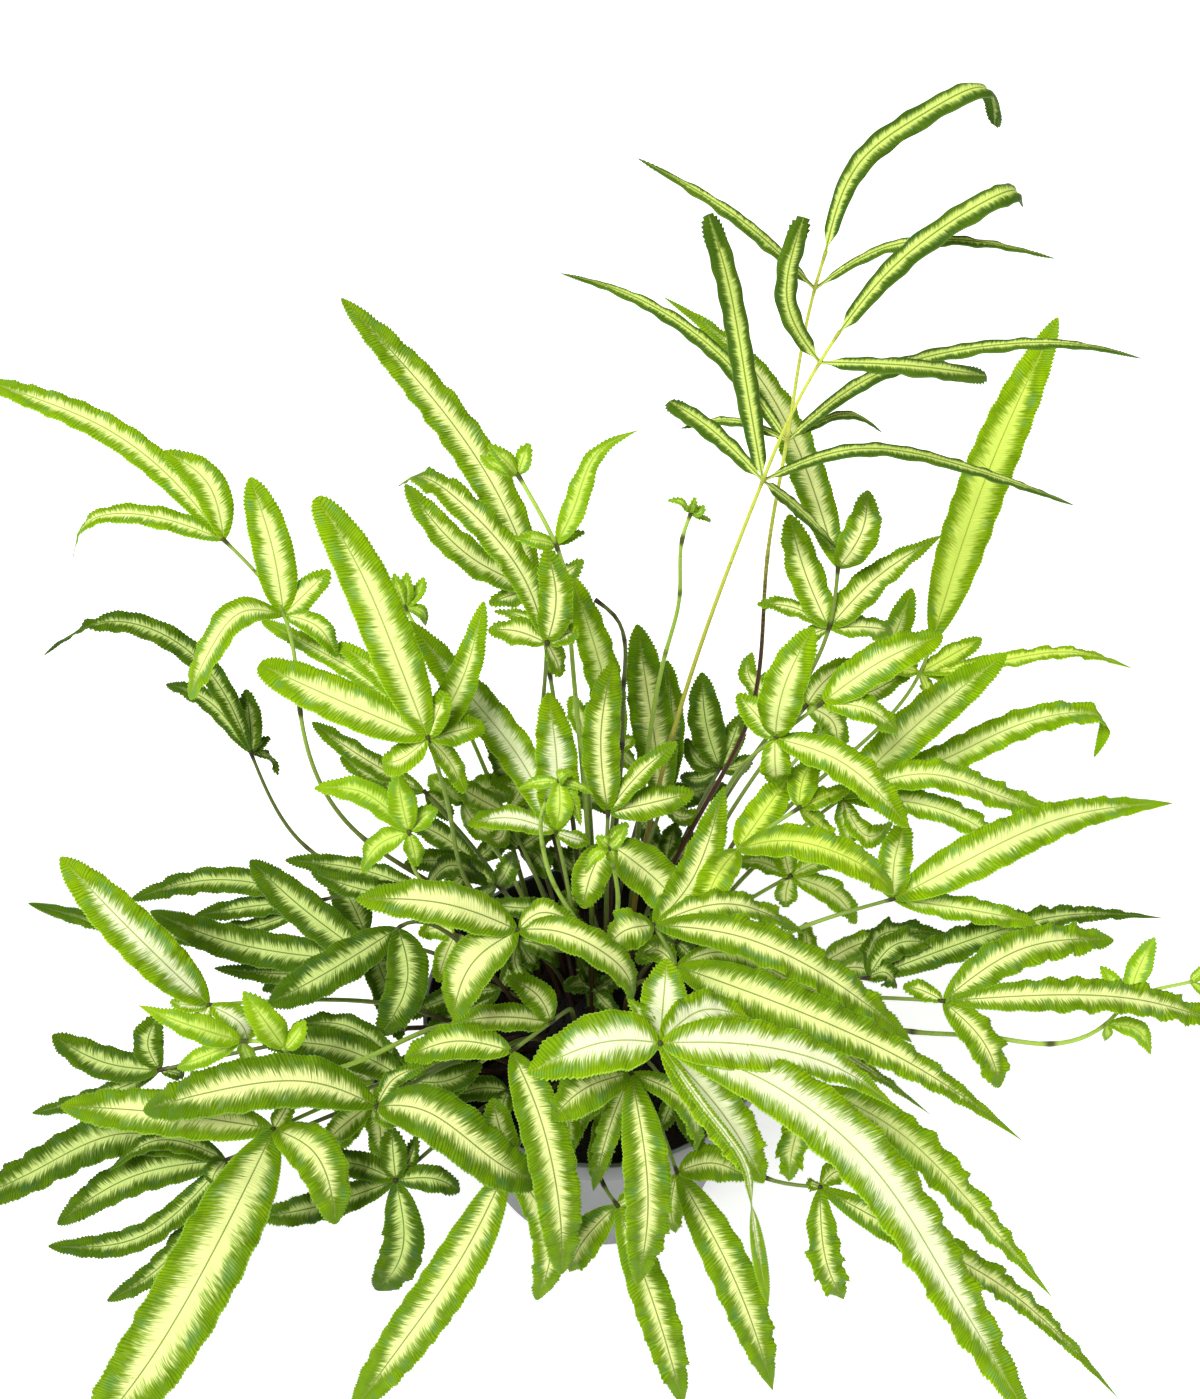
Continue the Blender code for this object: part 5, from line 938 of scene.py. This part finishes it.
def leaf_material(name, margin, band, glow, look):
    """A pleated leaf: green with a pale band whose edges run out in fine hairs along the veins."""
    recipe = Recipe(name)
    out, along, seed = recipe.attribute("blade")
    edge, run, limit = recipe.attribute("share")
    vein = along - abs(out) * VEIN_LEAN
    side = (out * 40.0).step(-1.0, 1.0) * 7.0
    hair = recipe.noise(recipe.vector(vein * 2.7, abs(out) * 0.22 + side, seed * 50.0), 1.0, 1.0, 0.6)
    tuft = recipe.noise(recipe.vector(vein * 0.9, abs(out) * 0.15 + side, seed * 41.0), 1.0, 0.0)
    coarse = recipe.noise(recipe.vector(vein * 0.14, side, seed * 31.0), 1.0, 0.0)
    patch = recipe.noise(recipe.vector(along * 0.07, out * 0.2, seed * 17.0), 1.0, 2.0)
    pleat = (vein * (2.0 * math.pi / VEIN_SPACING) + coarse * 25.0).sine() * 0.5 + 0.5
    ragged = limit + (hair - 0.5) * look["hair"] + (tuft - 0.5) * 0.26 + (coarse - 0.5) * 0.20 - edge
    haze, pale = ragged.step(-0.30, 0.06), ragged.step(-0.11, 0.22)
    beside = ragged.step(-0.60, -0.20) * (1.0 - haze)
    deep = tuple(0.42 * part for part in margin)
    light = (min(1.0, 1.35 * margin[0] + 0.02), min(1.0, 1.22 * margin[1] + 0.03), margin[2])
    # painted sheen: a desaturated blue-green that stands in for the soft light's reflection on the arched
    # halves
    painted_sheen = (0.75 * margin[0], 0.95 * margin[1], 0.20 * margin[1])
    green = recipe.mix(patch.step(0.35, 0.70), margin, light)
    green = recipe.mix(beside * look["shade"], green, deep)
    # where the painted sheen lies: a band across the middle of each half, broken up by noise
    sheen_ring = 1.0 - (edge - 0.62) * (edge - 0.62) * 14.0
    green = recipe.mix(coarse.step(0.50, 0.75) * sheen_ring.step(0.0, 1.0) * 0.75, green, painted_sheen)
    crease = pleat.step(0.45, 0.98) * (tuft * 0.7 + 0.45)
    green = recipe.mix(crease * look["veins"], green, deep)
    warm = tuple(0.5 * a + 0.5 * b for a, b in zip(band, light))
    cream = recipe.mix(crease * 0.35 + patch.step(0.45, 0.8) * 0.30, band, warm)
    colour = recipe.mix(pale, recipe.mix(haze * 0.48, green, warm), cream)
    # painted highlight: a thin pale line along the leaflet's edge that stands in for light catching the rim
    painted_rim_highlight = (edge - 0.945).step(0.0, 0.04)
    colour = recipe.mix(painted_rim_highlight * 0.6, colour, tuple(min(1.0, 1.9 * part + 0.07) for part in margin))
    midrib = (1.0 - abs(out).step(0.12, 0.30)) * (1.0 - run.step(0.86, 0.98))
    colour = recipe.mix(midrib * 0.9, colour, look["rib"])
    height = pleat * 0.5 + (1.0 - midrib) * 1.2
    shader = recipe.node("BsdfPrincipled", inputs={
        "Base Color": colour, "Roughness": patch * 0.25 + look["gloss"],
        "Specular IOR Level": LEAF_SHINE, "Normal": recipe.bump(height, 0.00018, 0.7)})
    through = recipe.node("BsdfTranslucent", inputs={"Color": glow})
    mixed = recipe.node("MixShader", inputs={0: GLOW_SHARE, 1: shader.outputs[0], 2: through.outputs[0]})
    recipe.output(mixed.outputs[0])
    return recipe.material


def stalk_material(name, look):
    """A wiry stalk: dark low down, green where its leaflets grow, with small dark spots."""
    recipe = Recipe(name)
    rise, joint, _ = recipe.attribute("stalk")
    grain = recipe.noise(recipe.place(), 900.0, 3.0)
    turn = (rise + (grain - 0.5) * 0.25).step(*look["turn"])
    colour = recipe.mix(turn, look["low"], look["high"])
    colour = recipe.mix(joint.step(0.1, 0.7) * look["joints"], colour, JOINT_COLOUR)
    colour = recipe.mix(grain.step(0.62, 0.70) * 0.5, colour, JOINT_COLOUR)
    recipe.surface(colour, grain * 0.2 + 0.3, recipe.bump(grain, 0.0001, 0.5), **{"Specular IOR Level": 0.15})
    return recipe.material


def pot_material(name, base, roughness):
    """Matte moulded plastic with a fine grain and a few faint scuffs."""
    recipe = Recipe(name)
    place = recipe.place()
    grain = recipe.noise(place, 2600.0, 3.0)
    cloud = recipe.noise(place, 26.0, 3.0)
    stretched = recipe.node("Mapping", inputs={"Vector": place, "Scale": (60.0, 60.0, 900.0)})
    scuff = recipe.noise(stretched.outputs[0], 1.0, 4.0)
    colour = recipe.mix(cloud.step(0.3, 0.75) * 0.5, base, tuple(0.9 * part for part in base))
    colour = recipe.mix(scuff.step(0.66, 0.8) * 0.35, colour, tuple(min(1, 1.12 * p) for p in base))
    recipe.surface(colour, cloud * 0.15 + roughness, recipe.bump(grain + scuff * 0.5, 0.00006, 0.5),
                   **{"Specular IOR Level": 0.3})
    return recipe.material


def peat_material(settings):
    """Damp peat: nearly black, in crumbs, with brown fibres."""
    recipe = Recipe("peat")
    place = recipe.place()
    crumbs = recipe.noise(place, 520.0, 6.0, 0.65)
    tint = recipe.noise(place, 90.0, 3.0)
    dark = tuple(settings.colour)
    colour = recipe.mix(tint.step(0.4, 0.75), dark, tuple(2.2 * part for part in dark))
    colour = recipe.mix(crumbs.step(0.62, 0.74), colour, (0.075, 0.045, 0.026))
    recipe.surface(colour, crumbs * 0.2 + 0.75, recipe.bump(crumbs, 0.0015), **{"Specular IOR Level": 0.15})
    return recipe.material


def floor_material(settings):
    recipe = Recipe("floor")
    place = recipe.place()
    shade = recipe.noise(place, 3.0, 2.0)
    base = tuple(settings.floor_colour)
    colour = recipe.mix(shade, base, tuple(0.985 * part for part in base))
    recipe.surface(colour, shade * 0.05 + 0.8, **{"Emission Color": (1.0, 1.0, 1.0),
                                                  "Emission Strength": settings.floor_glow,
                                                  "Specular IOR Level": 0.1})
    return recipe.material


def finished(name, bm, materials, *nodes, slot=None):
    """A piece from a bmesh: smooth, riding on the part and standing for its nodes."""
    mesh = bpy.data.meshes.new(name)
    bm.to_mesh(mesh)
    bm.free()
    mesh.shade_smooth()
    for made in materials:
        mesh.materials.append(made)
    piece = bpy.data.objects.new(name, mesh)
    bpy.context.scene.collection.objects.link(piece)
    if nodes:
        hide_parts(*nodes)
    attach(piece, "root")
    return piece


def spun(bm, profile, steps):
    """Turns (radius, height) points round Z."""
    points = [bm.verts.new((radius, 0.0, height)) for radius, height in profile]
    edges = [bm.edges.new(pair) for pair in zip(points, points[1:])]
    bmesh.ops.spin(bm, geom=points + edges, cent=(0, 0, 0), axis=(0, 0, 1), angle=2 * math.pi,
                   steps=steps, use_merge=True, use_duplicate=False)
    bmesh.ops.remove_doubles(bm, verts=bm.verts, dist=0.00001)
    bmesh.ops.recalc_face_normals(bm, faces=bm.faces)


def wall_radius(height):
    """The outer radius of the pot's wall, under the rim's band."""
    return BASE_RADIUS + (RIM_RADIUS - RIM_STEP - BASE_RADIUS) * height / (RIM_HEIGHT - RIM_BAND)


@functools.cache
def laid_out():
    """The layout of the fronds, and the same with the low fronds bent clear under them."""
    settled = Layout(FRONDS).settle()
    every = Layout(FRONDS + LOW)
    points, strips = len(settled.reach), len(settled.strips)
    every.lines_of_sight[:points] = settled.lines_of_sight
    every.reach[:points], every.held[:points] = settled.reach, True
    every.knots[:strips] = settled.knots
    return settled, every.settle(LOW_ROUNDS)


@functools.cache
def tone_materials():
    """The leaf and the stalk material of each tone."""
    settings, made = bpy.context.scene.fern_leaves, {}
    for tone, look in TONES.items():
        shade = look.get("as", tone)
        margin, band = (tuple(getattr(settings, shade + part)) for part in ("_margin", "_band"))
        glow = (min(1.0, 1.7 * margin[0] + 0.08), min(1.0, 1.6 * margin[1] + 0.08), 0.004)
        made[tone] = [leaf_material("leaf_" + tone, margin, band, glow, look),
                      stalk_material("stalk_" + tone, look)]
    return made


def frond(layout, number, name, tone, slot, *nodes):
    """One frond: its stalk and its leaflets in one piece."""
    settings, rng = bpy.context.scene.fern_leaves, random.Random(100 + number)
    bm = bmesh.new()
    for layer in ("blade", "share", "stalk"):
        bm.verts.layers.float_vector.new(layer)
    rows = np.nonzero(layout.frond == number)[0]
    form = {"pitch": settings.pitch, "tooth": settings.tooth, "thickness": settings.thickness,
            **TONES[tone]["form"], **FORMS.get(name, {})}
    stalk_shape(bm, layout, int(rows[0]), settings, form["taper"], rng)
    for place, row in enumerate(rows[1:]):
        blade_shape(bm, layout, int(row), name, place, form, rng)
    return finished("fern_" + name, bm, tone_materials()[tone], *nodes, slot=slot)


def smooth(at, low, high):
    """0 below `low`, 1 above `high` and smooth between."""
    share = np.clip((at - low) / (high - low), 0, 1)
    return share * share * (3 - 2 * share)


def blade_shape(bm, layout, row, frond_name, place, form, rng):
    """One leaflet: a grid laid along its strip with its pleated, waved and toothed edges, made solid."""
    kind, half = layout.strips[row][1], layout.half_width[row] * form["slim"]
    points = layout.spots()[layout.strips[row][3]]
    length = float(np.linalg.norm(np.diff(points, axis=0), axis=1).sum())
    teeth = max(8, round(length / form["pitch"]))
    at = np.linspace(0.0, 1.0, 2 * teeth + 1)
    across = np.array(COLUMNS)
    middle, side, face, forward = (part[0] for part in layout.lines(layout.sampling(at, [row])))
    share = blade_width(at, kind) ** np.where(at < kind[0], form["root"], form["tip"])
    away = at * length
    reach = smooth(at, 0.01, 0.12) * (1 - smooth(at, 0.60, 0.98))
    limit = reach * form["band"] * rng.uniform(0.85, 1.12) + (reach - 1) * 0.25
    if (frond_name, place) in NECKS:
        form, (neck, wide) = {**form, "wave": 0.0, "sway": 0.0}, NECKS[frond_name, place]
        blade = np.sin(math.pi * np.clip((at - neck) / (1 - neck), 0, 1)) ** 0.7
        share = np.maximum(0.08, np.where(at < neck, 0.4 * np.clip((neck - at) / 0.1, 0, 1), wide * blade))
    if form["bare"]:
        wedge = np.clip((away - form["bare"]) / form["wedge"], 0, 1)
        tip = (1 - at ** 14) ** 0.5 if kind == STRAP else (1 - at ** 2.6) ** 0.9
        share = np.maximum(form["stem"] / half * (at < 0.5),
                           wedge * tip * (0.60 + 0.40 * smooth(away, 0.0, 0.030)))
        limit = form["band"] * (1 - smooth(at, 0.70, 1.0)) + (1 - wedge)
    tooth = np.where(np.arange(len(at)) % 2, form["tooth"], 0.0) * np.clip(2.2 * share, 0, 1)
    tooth *= 1 + 0.7 * smooth(at, 0.55, 0.95)
    if form["bare"]:
        tooth *= np.clip((at - 0.88) / 0.05, 0, 1)
    envelope = smooth(at, 0.08, 0.32) * (1 - smooth(at, 0.80, 1.0)) * np.clip(share * 1.3, 0, 1)
    curl = []
    for sign in (-1.0, 1.0):
        turn, wave = rng.uniform(0, 2 * math.pi), rng.uniform(0.85, 1.2) * form["wave_run"]
        curl.append(form["wave"] * envelope * (np.sin(2 * math.pi * away / wave + turn)
                    + 0.45 * np.sin(2 * math.pi * away / (wave * 0.43) + 2 * turn)))
    sway = form["sway"] * envelope * np.array([
        np.sin(2 * math.pi * away / (run * form["wave_run"]) + turn)
        for run, turn in ((0.71, 6 * rng.random()), (0.83, 6 * rng.random()))])
    out = (share[:, None] * half + np.where(across < 0, sway[0][:, None], sway[1][:, None])) * across
    edge = np.abs(across)
    lift = BLADE_FOLD * np.abs(out) * (1 - form["roll"] * edge ** 2)
    arch = form["arch"] * half * share * smooth(at, 0.05, 0.30)
    lift = lift + arch[:, None] * np.sin(math.pi * edge)
    lift = lift + np.where(across < 0, curl[0][:, None], curl[1][:, None]) * edge ** 2.2
    out = out + np.sign(across) * (edge > 0.99) * tooth[:, None]
    ahead = (edge > 0.99) * (0.9 * tooth)[:, None]
    spots = (middle[:, None] + out[..., None] * side[:, None] + lift[..., None] * face[:, None]
             + ahead[..., None] * forward[:, None])
    blade, shares = bm.verts.layers.float_vector["blade"], bm.verts.layers.float_vector["share"]
    seed = rng.random()
    made = bmesh.ops.create_grid(bm, x_segments=len(across) - 1, y_segments=len(at) - 1, size=1.0)
    verts = made["verts"]
    for vert in verts:
        i = round((vert.co.y + 1) / 2 * (len(at) - 1))
        j = int(np.searchsorted(GRID_PLACES, vert.co.x - 0.001))
        vert.co = spots[i, j]
        vert[blade] = (1000 * out[i, j], 1000 * away[i], seed)
        vert[shares] = (edge[j], at[i], limit[i])
    faces = list({face for vert in verts for face in vert.link_faces})
    bmesh.ops.solidify(bm, geom=faces, thickness=form["thickness"])


def stalk_shape(bm, layout, row, settings, taper, rng):
    """The stalk: a tapered tube from the bottom of its hole, a little swollen at its joints."""
    points, knots = layout.strips[row][3], layout.knots[row]
    run = np.linalg.norm(np.diff(layout.spots()[points], axis=0), axis=1)
    length = float(run.sum())
    count = max(4, math.ceil(length / 0.004))
    at = np.linspace(0.0, 1.0, count + 1)
    middle, side, face, forward = (part[0] for part in layout.lines(layout.sampling(at, [row])))
    low = middle[0] - (0.0, 0.0, 0.0015 + HOLE_DEPTH - FIT)
    middle = np.concatenate(([low, low], middle, [middle[-1] + forward[-1] * 0.0009] * 2))
    side = np.concatenate(([side[0]] * 2, side, [side[-1]] * 2))
    face = np.concatenate(([face[0]] * 2, face, [face[-1]] * 2))
    at = np.concatenate(((0.0, 0.0), at, (1.0, 1.0)))
    joints = np.array(knots[-len(points) + 1:]) if len(points) > 2 else np.array((1.0,))
    near = np.exp(-((at[:, None] - joints[None, 1:]) * length / 0.0016) ** 2).sum(axis=1).clip(0, 1)
    thick = (settings.stalk_radius * (1 - taper * at)) * (1 + 0.3 * near)
    thick[0] = thick[-1] = 0.0
    layer = bm.verts.layers.float_vector["stalk"]
    seed = rng.random()
    made = bmesh.ops.create_grid(bm, x_segments=STALK_SIDES, y_segments=len(at) - 1, size=1.0)
    for vert in made["verts"]:
        i = round((vert.co.y + 1) / 2 * (len(at) - 1))
        angle = math.pi * vert.co.x
        vert[layer] = (at[i], near[i], seed)
        vert.co = middle[i] + thick[i] * (math.cos(angle) * side[i] + math.sin(angle) * face[i])
    faces = list({face for vert in made["verts"] for face in vert.link_faces})
    bmesh.ops.remove_doubles(bm, verts=made["verts"], dist=0.000005)
    faces = [face for face in faces if face.is_valid]
    for face in faces:
        face.material_index = 1
    bmesh.ops.recalc_face_normals(bm, faces=faces)


class FernPotSettings(bpy.types.PropertyGroup):
    """The pot."""
    colour: bpy.props.FloatVectorProperty(
        name="Colour", description="Colour of the plastic", size=3, subtype="COLOR", min=0.0, max=1.0,
        default=(0.155, 0.16, 0.165))
    # painted shade: the pot's inner wall is coloured near-black to stand in for the shade inside the pot
    inside: bpy.props.FloatVectorProperty(
        name="Inside", description="Colour of the pot's inner wall", size=3, subtype="COLOR",
        min=0.0, max=1.0, default=(0.012, 0.013, 0.012))
    roughness: bpy.props.FloatProperty(
        name="Roughness", description="How matte the plastic is", subtype="FACTOR",
        min=0.0, max=1.0, default=0.42)
    easing: bpy.props.FloatProperty(
        name="Easing", description="How far the pot's corners are rounded", unit="LENGTH",
        min=0.0001, max=0.001, default=0.0006)
    sides: bpy.props.IntProperty(
        name="Sides", description="Facets round the pot", min=36, max=256, default=128)


class FernPeatSettings(bpy.types.PropertyGroup):
    """The peat."""
    colour: bpy.props.FloatVectorProperty(
        name="Colour", description="Colour of the damp peat", size=3, subtype="COLOR", min=0.0, max=1.0,
        default=(0.0060, 0.0048, 0.0036))
    relief: bpy.props.FloatProperty(
        name="Relief", description="Height of the peat's lumps", unit="LENGTH",
        min=0.0, max=0.004, default=0.0016)
    crumbs: bpy.props.IntProperty(
        name="Crumbs", description="Loose crumbs on the peat", min=0, max=1500, default=700)


def colour_property(name, description, default):
    return bpy.props.FloatVectorProperty(name=name, description=description, size=3, subtype="COLOR",
                                         min=0.0, max=1.0, default=default)


class FernLeafSettings(bpy.types.PropertyGroup):
    """The fronds."""
    thickness: bpy.props.FloatProperty(
        name="Thickness", description="Thickness of a leaflet", unit="LENGTH",
        min=0.0001, max=0.001, default=0.0003)
    pitch: bpy.props.FloatProperty(
        name="Tooth pitch", description="Space between the teeth of a leaflet's edge", unit="LENGTH",
        min=0.0008, max=0.004, default=0.0014)
    tooth: bpy.props.FloatProperty(
        name="Tooth depth", description="How far the teeth stand out", unit="LENGTH",
        min=0.0, max=0.001, default=0.0004)
    stalk_radius: bpy.props.FloatProperty(
        name="Stalk radius", description="Radius of a stalk where it leaves the peat", unit="LENGTH",
        min=0.0004, max=0.002, default=0.0011)
    dark_margin: colour_property("Dark margin", "Green of the dark fronds", (0.066, 0.142, 0.004))
    dark_band: colour_property("Dark band", "Pale band of the dark fronds", (0.60, 0.72, 0.22))
    green_margin: colour_property("Green margin", "Green of the mid-green fronds", (0.165, 0.310, 0.005))
    green_band: colour_property("Green band", "Pale band of the mid-green fronds", (0.91, 0.95, 0.38))
    deep_margin: colour_property(
        "Deep margin", "Green of the fronds with deep green edges", (0.115, 0.235, 0.004))
    deep_band: colour_property("Deep band", "Pale band of those fronds", (0.91, 0.95, 0.38))
    bright_margin: colour_property("Bright margin", "Green of the bright fronds", (0.215, 0.395, 0.004))
    bright_band: colour_property("Bright band", "Pale band of the bright fronds", (0.92, 0.97, 0.38))
    white_margin: colour_property(
        "White margin", "Green of the fronds with white bands", (0.215, 0.385, 0.004))
    white_band: colour_property("White band", "Nearly white band of some fronds", (0.98, 0.98, 0.66))
    golden_margin: colour_property("Golden margin", "Green of the golden fronds", (0.24, 0.42, 0.004))
    golden_band: colour_property("Golden band", "Band of the golden fronds", (0.80, 0.93, 0.17))
    young_margin: colour_property("Young margin", "Green of the young fronds", (0.22, 0.40, 0.008))
    young_band: colour_property("Young band", "Pale band of the young fronds", (0.68, 0.84, 0.16))
    fertile_margin: colour_property("Fertile margin", "Green of the tall fronds", (0.063, 0.138, 0.009))
    fertile_band: colour_property("Fertile band", "Pale band of the tall fronds", (0.72, 0.88, 0.20))


class FernStageSettings(bpy.types.PropertyGroup):
    """The floor, the light and the camera."""
    floor_colour: colour_property("Floor", "Colour of the floor", (0.80, 0.80, 0.80))
    world_strength: bpy.props.FloatProperty(
        name="Ambient", description="Strength of the light from all round", min=0.0, max=4.0, default=0.32)
    key_power: bpy.props.FloatProperty(
        name="Key light", description="Strength of the soft light overhead",
        min=0.0, max=20.0, default=3.9)
    key_angle: bpy.props.FloatProperty(
        name="Softness", description="How wide the light overhead is, seen from the plant",
        subtype="ANGLE", min=0.0, max=math.pi, default=math.radians(24))
    floor_glow: bpy.props.FloatProperty(
        name="Floor glow", description="Light that the white floor gives off by itself",
        min=0.0, max=2.0, default=0.62)


class FERN_OT_pot(bpy.types.Operator):
    """Make the pot: a turned, tapered pot with a banded rim and a stepped foot"""
    bl_idname = "fern.pot"
    bl_label = "Pot"

    def execute(self, context):
        settings = context.scene.fern_pot
        ease, band = settings.easing, RIM_HEIGHT - RIM_BAND
        bm = bmesh.new()
        spun(bm, [
            (0.0, FLOOR),
            (wall_radius(FLOOR) - WALL, FLOOR),
            (wall_radius(band) - WALL, band),
            (RIM_RADIUS - 0.0022, RIM_HEIGHT),
            (RIM_RADIUS, RIM_HEIGHT),
            (RIM_RADIUS - 0.0004, band),
            (wall_radius(band), band),
            (wall_radius(0.004), 0.004),
            (BASE_RADIUS - 0.0012, 0.0),
            (BASE_RADIUS - 0.0042, 0.0),
            (BASE_RADIUS - 0.0048, 0.0012),
            (0.0, 0.0012),
        ], settings.sides)
        sharp = [edge for edge in bm.edges if len(edge.link_faces) == 2
                 and edge.calc_face_angle() > math.radians(25)]
        bmesh.ops.bevel(bm, geom=sharp, offset=ease, offset_type="OFFSET", affect="EDGES", segments=3,
                        profile=0.5, material=-1)
        # faces of the inner wall get the second material, the near-black painted shade
        for face in bm.faces:
            middle = face.calc_center_median()
            within = middle.xy.length < wall_radius(middle.z) - WALL / 2 and middle.z > 0.002
            face.material_index = int(within)
        finished("fern_pot", bm, [
            pot_material("pot_plastic", tuple(settings.colour), settings.roughness),
            pot_material("pot_inside", tuple(settings.inside), settings.roughness)], "pot", slot="pot")
        return {"FINISHED"}


class FERN_OT_peat(bpy.types.Operator):
    """Make the peat: a low lumpy mound that fills the pot, with loose crumbs"""
    bl_idname = "fern.peat"
    bl_label = "Peat"

    def execute(self, context):
        settings, rng = context.scene.fern_peat, random.Random(11)
        low, wide = FLOOR + FIT, SOIL_RADIUS
        bm = bmesh.new()
        rings = [(wide * i / 44, float(soil_height(wide * i / 44))) for i in range(45)]
        deep = [(wall_radius(h) - WALL - FIT, h) for h in (0.06, 0.03)]
        spun(bm, rings + deep + [(wall_radius(low) - WALL - FIT, low), (0.0, low)], 110)
        for vert in bm.verts:
            reach = vert.co.xy.length
            if vert.co.z > SOIL_TOP - 0.001 and reach < wide - 0.0005:
                lump = (noise.fractal(vert.co * 60.0, 1.0, 2.0, 4)
                        + 0.5 * noise.noise(vert.co * 380.0))
                vert.co.z += settings.relief * lump
        for _ in range(settings.crumbs):
            reach, turn = wide * 0.96 * math.sqrt(rng.random()), rng.uniform(0, 2 * math.pi)
            size = rng.uniform(0.0006, 0.0020)
            spot = (reach * math.cos(turn), reach * math.sin(turn), float(soil_height(reach)) + 0.0004)
            place = (Matrix.Translation(spot) @ Matrix.Rotation(rng.uniform(0, 6.28), 4, Vector(
                (rng.uniform(-1, 1), rng.uniform(-1, 1), 1.0)).normalized())
                @ Matrix.Diagonal((size, size * rng.uniform(0.5, 1), size * rng.uniform(0.4, 0.8), 1)))
            bmesh.ops.create_icosphere(bm, subdivisions=1, radius=1.0, matrix=place)
        finished("fern_peat", bm, [peat_material(settings)], "potting_soil", slot="soil")
        return {"FINISHED"}


class FERN_OT_fronds(bpy.types.Operator):
    """Make the fronds: each a stalk with its toothed, pleated and striped leaflets"""
    bl_idname = "fern.fronds"
    bl_label = "Fronds"

    def execute(self, context):
        for number, (name, colour, _, _) in enumerate(FRONDS):
            frond(laid_out()[0], number, name, TONE_OF.get(name, colour),
                  "frond_" + colour, "frond_" + name)
        return {"FINISHED"}


class FERN_OT_undergrowth(bpy.types.Operator):
    """Make the low fronds that fill the pot's mouth under the others"""
    bl_idname = "fern.undergrowth"
    bl_label = "Undergrowth"

    def execute(self, context):
        for number, (name, tone, _, _) in enumerate(LOW, len(FRONDS)):
            frond(laid_out()[1], number, name, tone, "frond_" + tone)
        return {"FINISHED"}


class FERN_OT_stage(bpy.types.Operator):
    """Make the floor, the soft light and the camera"""
    bl_idname = "fern.stage"
    bl_label = "Stage"

    def execute(self, context):
        settings, scene = context.scene.fern_stage, context.scene
        bm = bmesh.new()
        bmesh.ops.create_grid(bm, x_segments=8, y_segments=8, size=4.0)
        mesh = bpy.data.meshes.new("floor")
        bm.to_mesh(mesh)
        bm.free()
        mesh.materials.append(floor_material(settings))
        floor = bpy.data.objects.new("floor", mesh)
        scene.collection.objects.link(floor)
        world = scene.world or bpy.data.worlds.new("studio")
        scene.world = world
        world.use_nodes = True
        background = world.node_tree.nodes["Background"]
        background.inputs["Color"].default_value = (1.0, 1.0, 1.0, 1.0)
        background.inputs["Strength"].default_value = settings.world_strength
        light = bpy.data.lights.new("key", "SUN")
        light.energy, light.angle = settings.key_power, settings.key_angle
        lamp = bpy.data.objects.new("key", light)
        lamp.location = (-0.4, -0.55, 1.3)
        lamp.rotation_euler = (Vector((0, 0, 0)) - lamp.location).to_track_quat("-Z", "Y").to_euler()
        scene.collection.objects.link(lamp)
        camera = bpy.data.cameras.new("camera")
        camera.sensor_width, camera.lens = 36.0, EYE_REACH * 36.0 / 1399.0
        camera.clip_start = 0.01
        eye = bpy.data.objects.new("camera", camera)
        eye.location = EYE
        eye.rotation_euler = (math.pi / 2 - EYE_TILT, 0.0, 0.0)
        scene.collection.objects.link(eye)
        scene.camera = eye
        scene.view_settings.view_transform = "Standard"
        return {"FINISHED"}


class FERN_PT_panel(bpy.types.Panel):
    """The fern's pieces and their settings"""
    bl_idname = "FERN_PT_panel"
    bl_label = "Potted Brake Fern"
    bl_space_type = "VIEW_3D"
    bl_region_type = "UI"
    bl_category = "Fern"

    def draw(self, context):
        for operator in OPERATORS:
            self.layout.operator(operator.bl_idname)
        for group in GROUPS:
            box, settings = self.layout.box(), getattr(context.scene, group)
            box.label(text=group.replace("_", " ").title())
            for entry in settings.bl_rna.properties:
                if entry.identifier not in ("rna_type", "name"):
                    box.prop(settings, entry.identifier)


OPERATORS = (FERN_OT_pot, FERN_OT_peat, FERN_OT_fronds, FERN_OT_undergrowth, FERN_OT_stage)
GROUPS = {"fern_pot": FernPotSettings, "fern_peat": FernPeatSettings,
          "fern_leaves": FernLeafSettings, "fern_stage": FernStageSettings}


def register():
    for group in GROUPS.values():
        bpy.utils.register_class(group)
    for made in (*OPERATORS, FERN_PT_panel):
        bpy.utils.register_class(made)
    for name, group in GROUPS.items():
        setattr(bpy.types.Scene, name, bpy.props.PointerProperty(type=group))


def unregister():
    for name in GROUPS:
        delattr(bpy.types.Scene, name)
    for made in (FERN_PT_panel, *reversed(OPERATORS), *GROUPS.values()):
        bpy.utils.unregister_class(made)


def main():
    register()
    for operator in OPERATORS:
        group, name = operator.bl_idname.split(".")
        getattr(getattr(bpy.ops, group), name)()


if __name__ == "__main__":
    main()
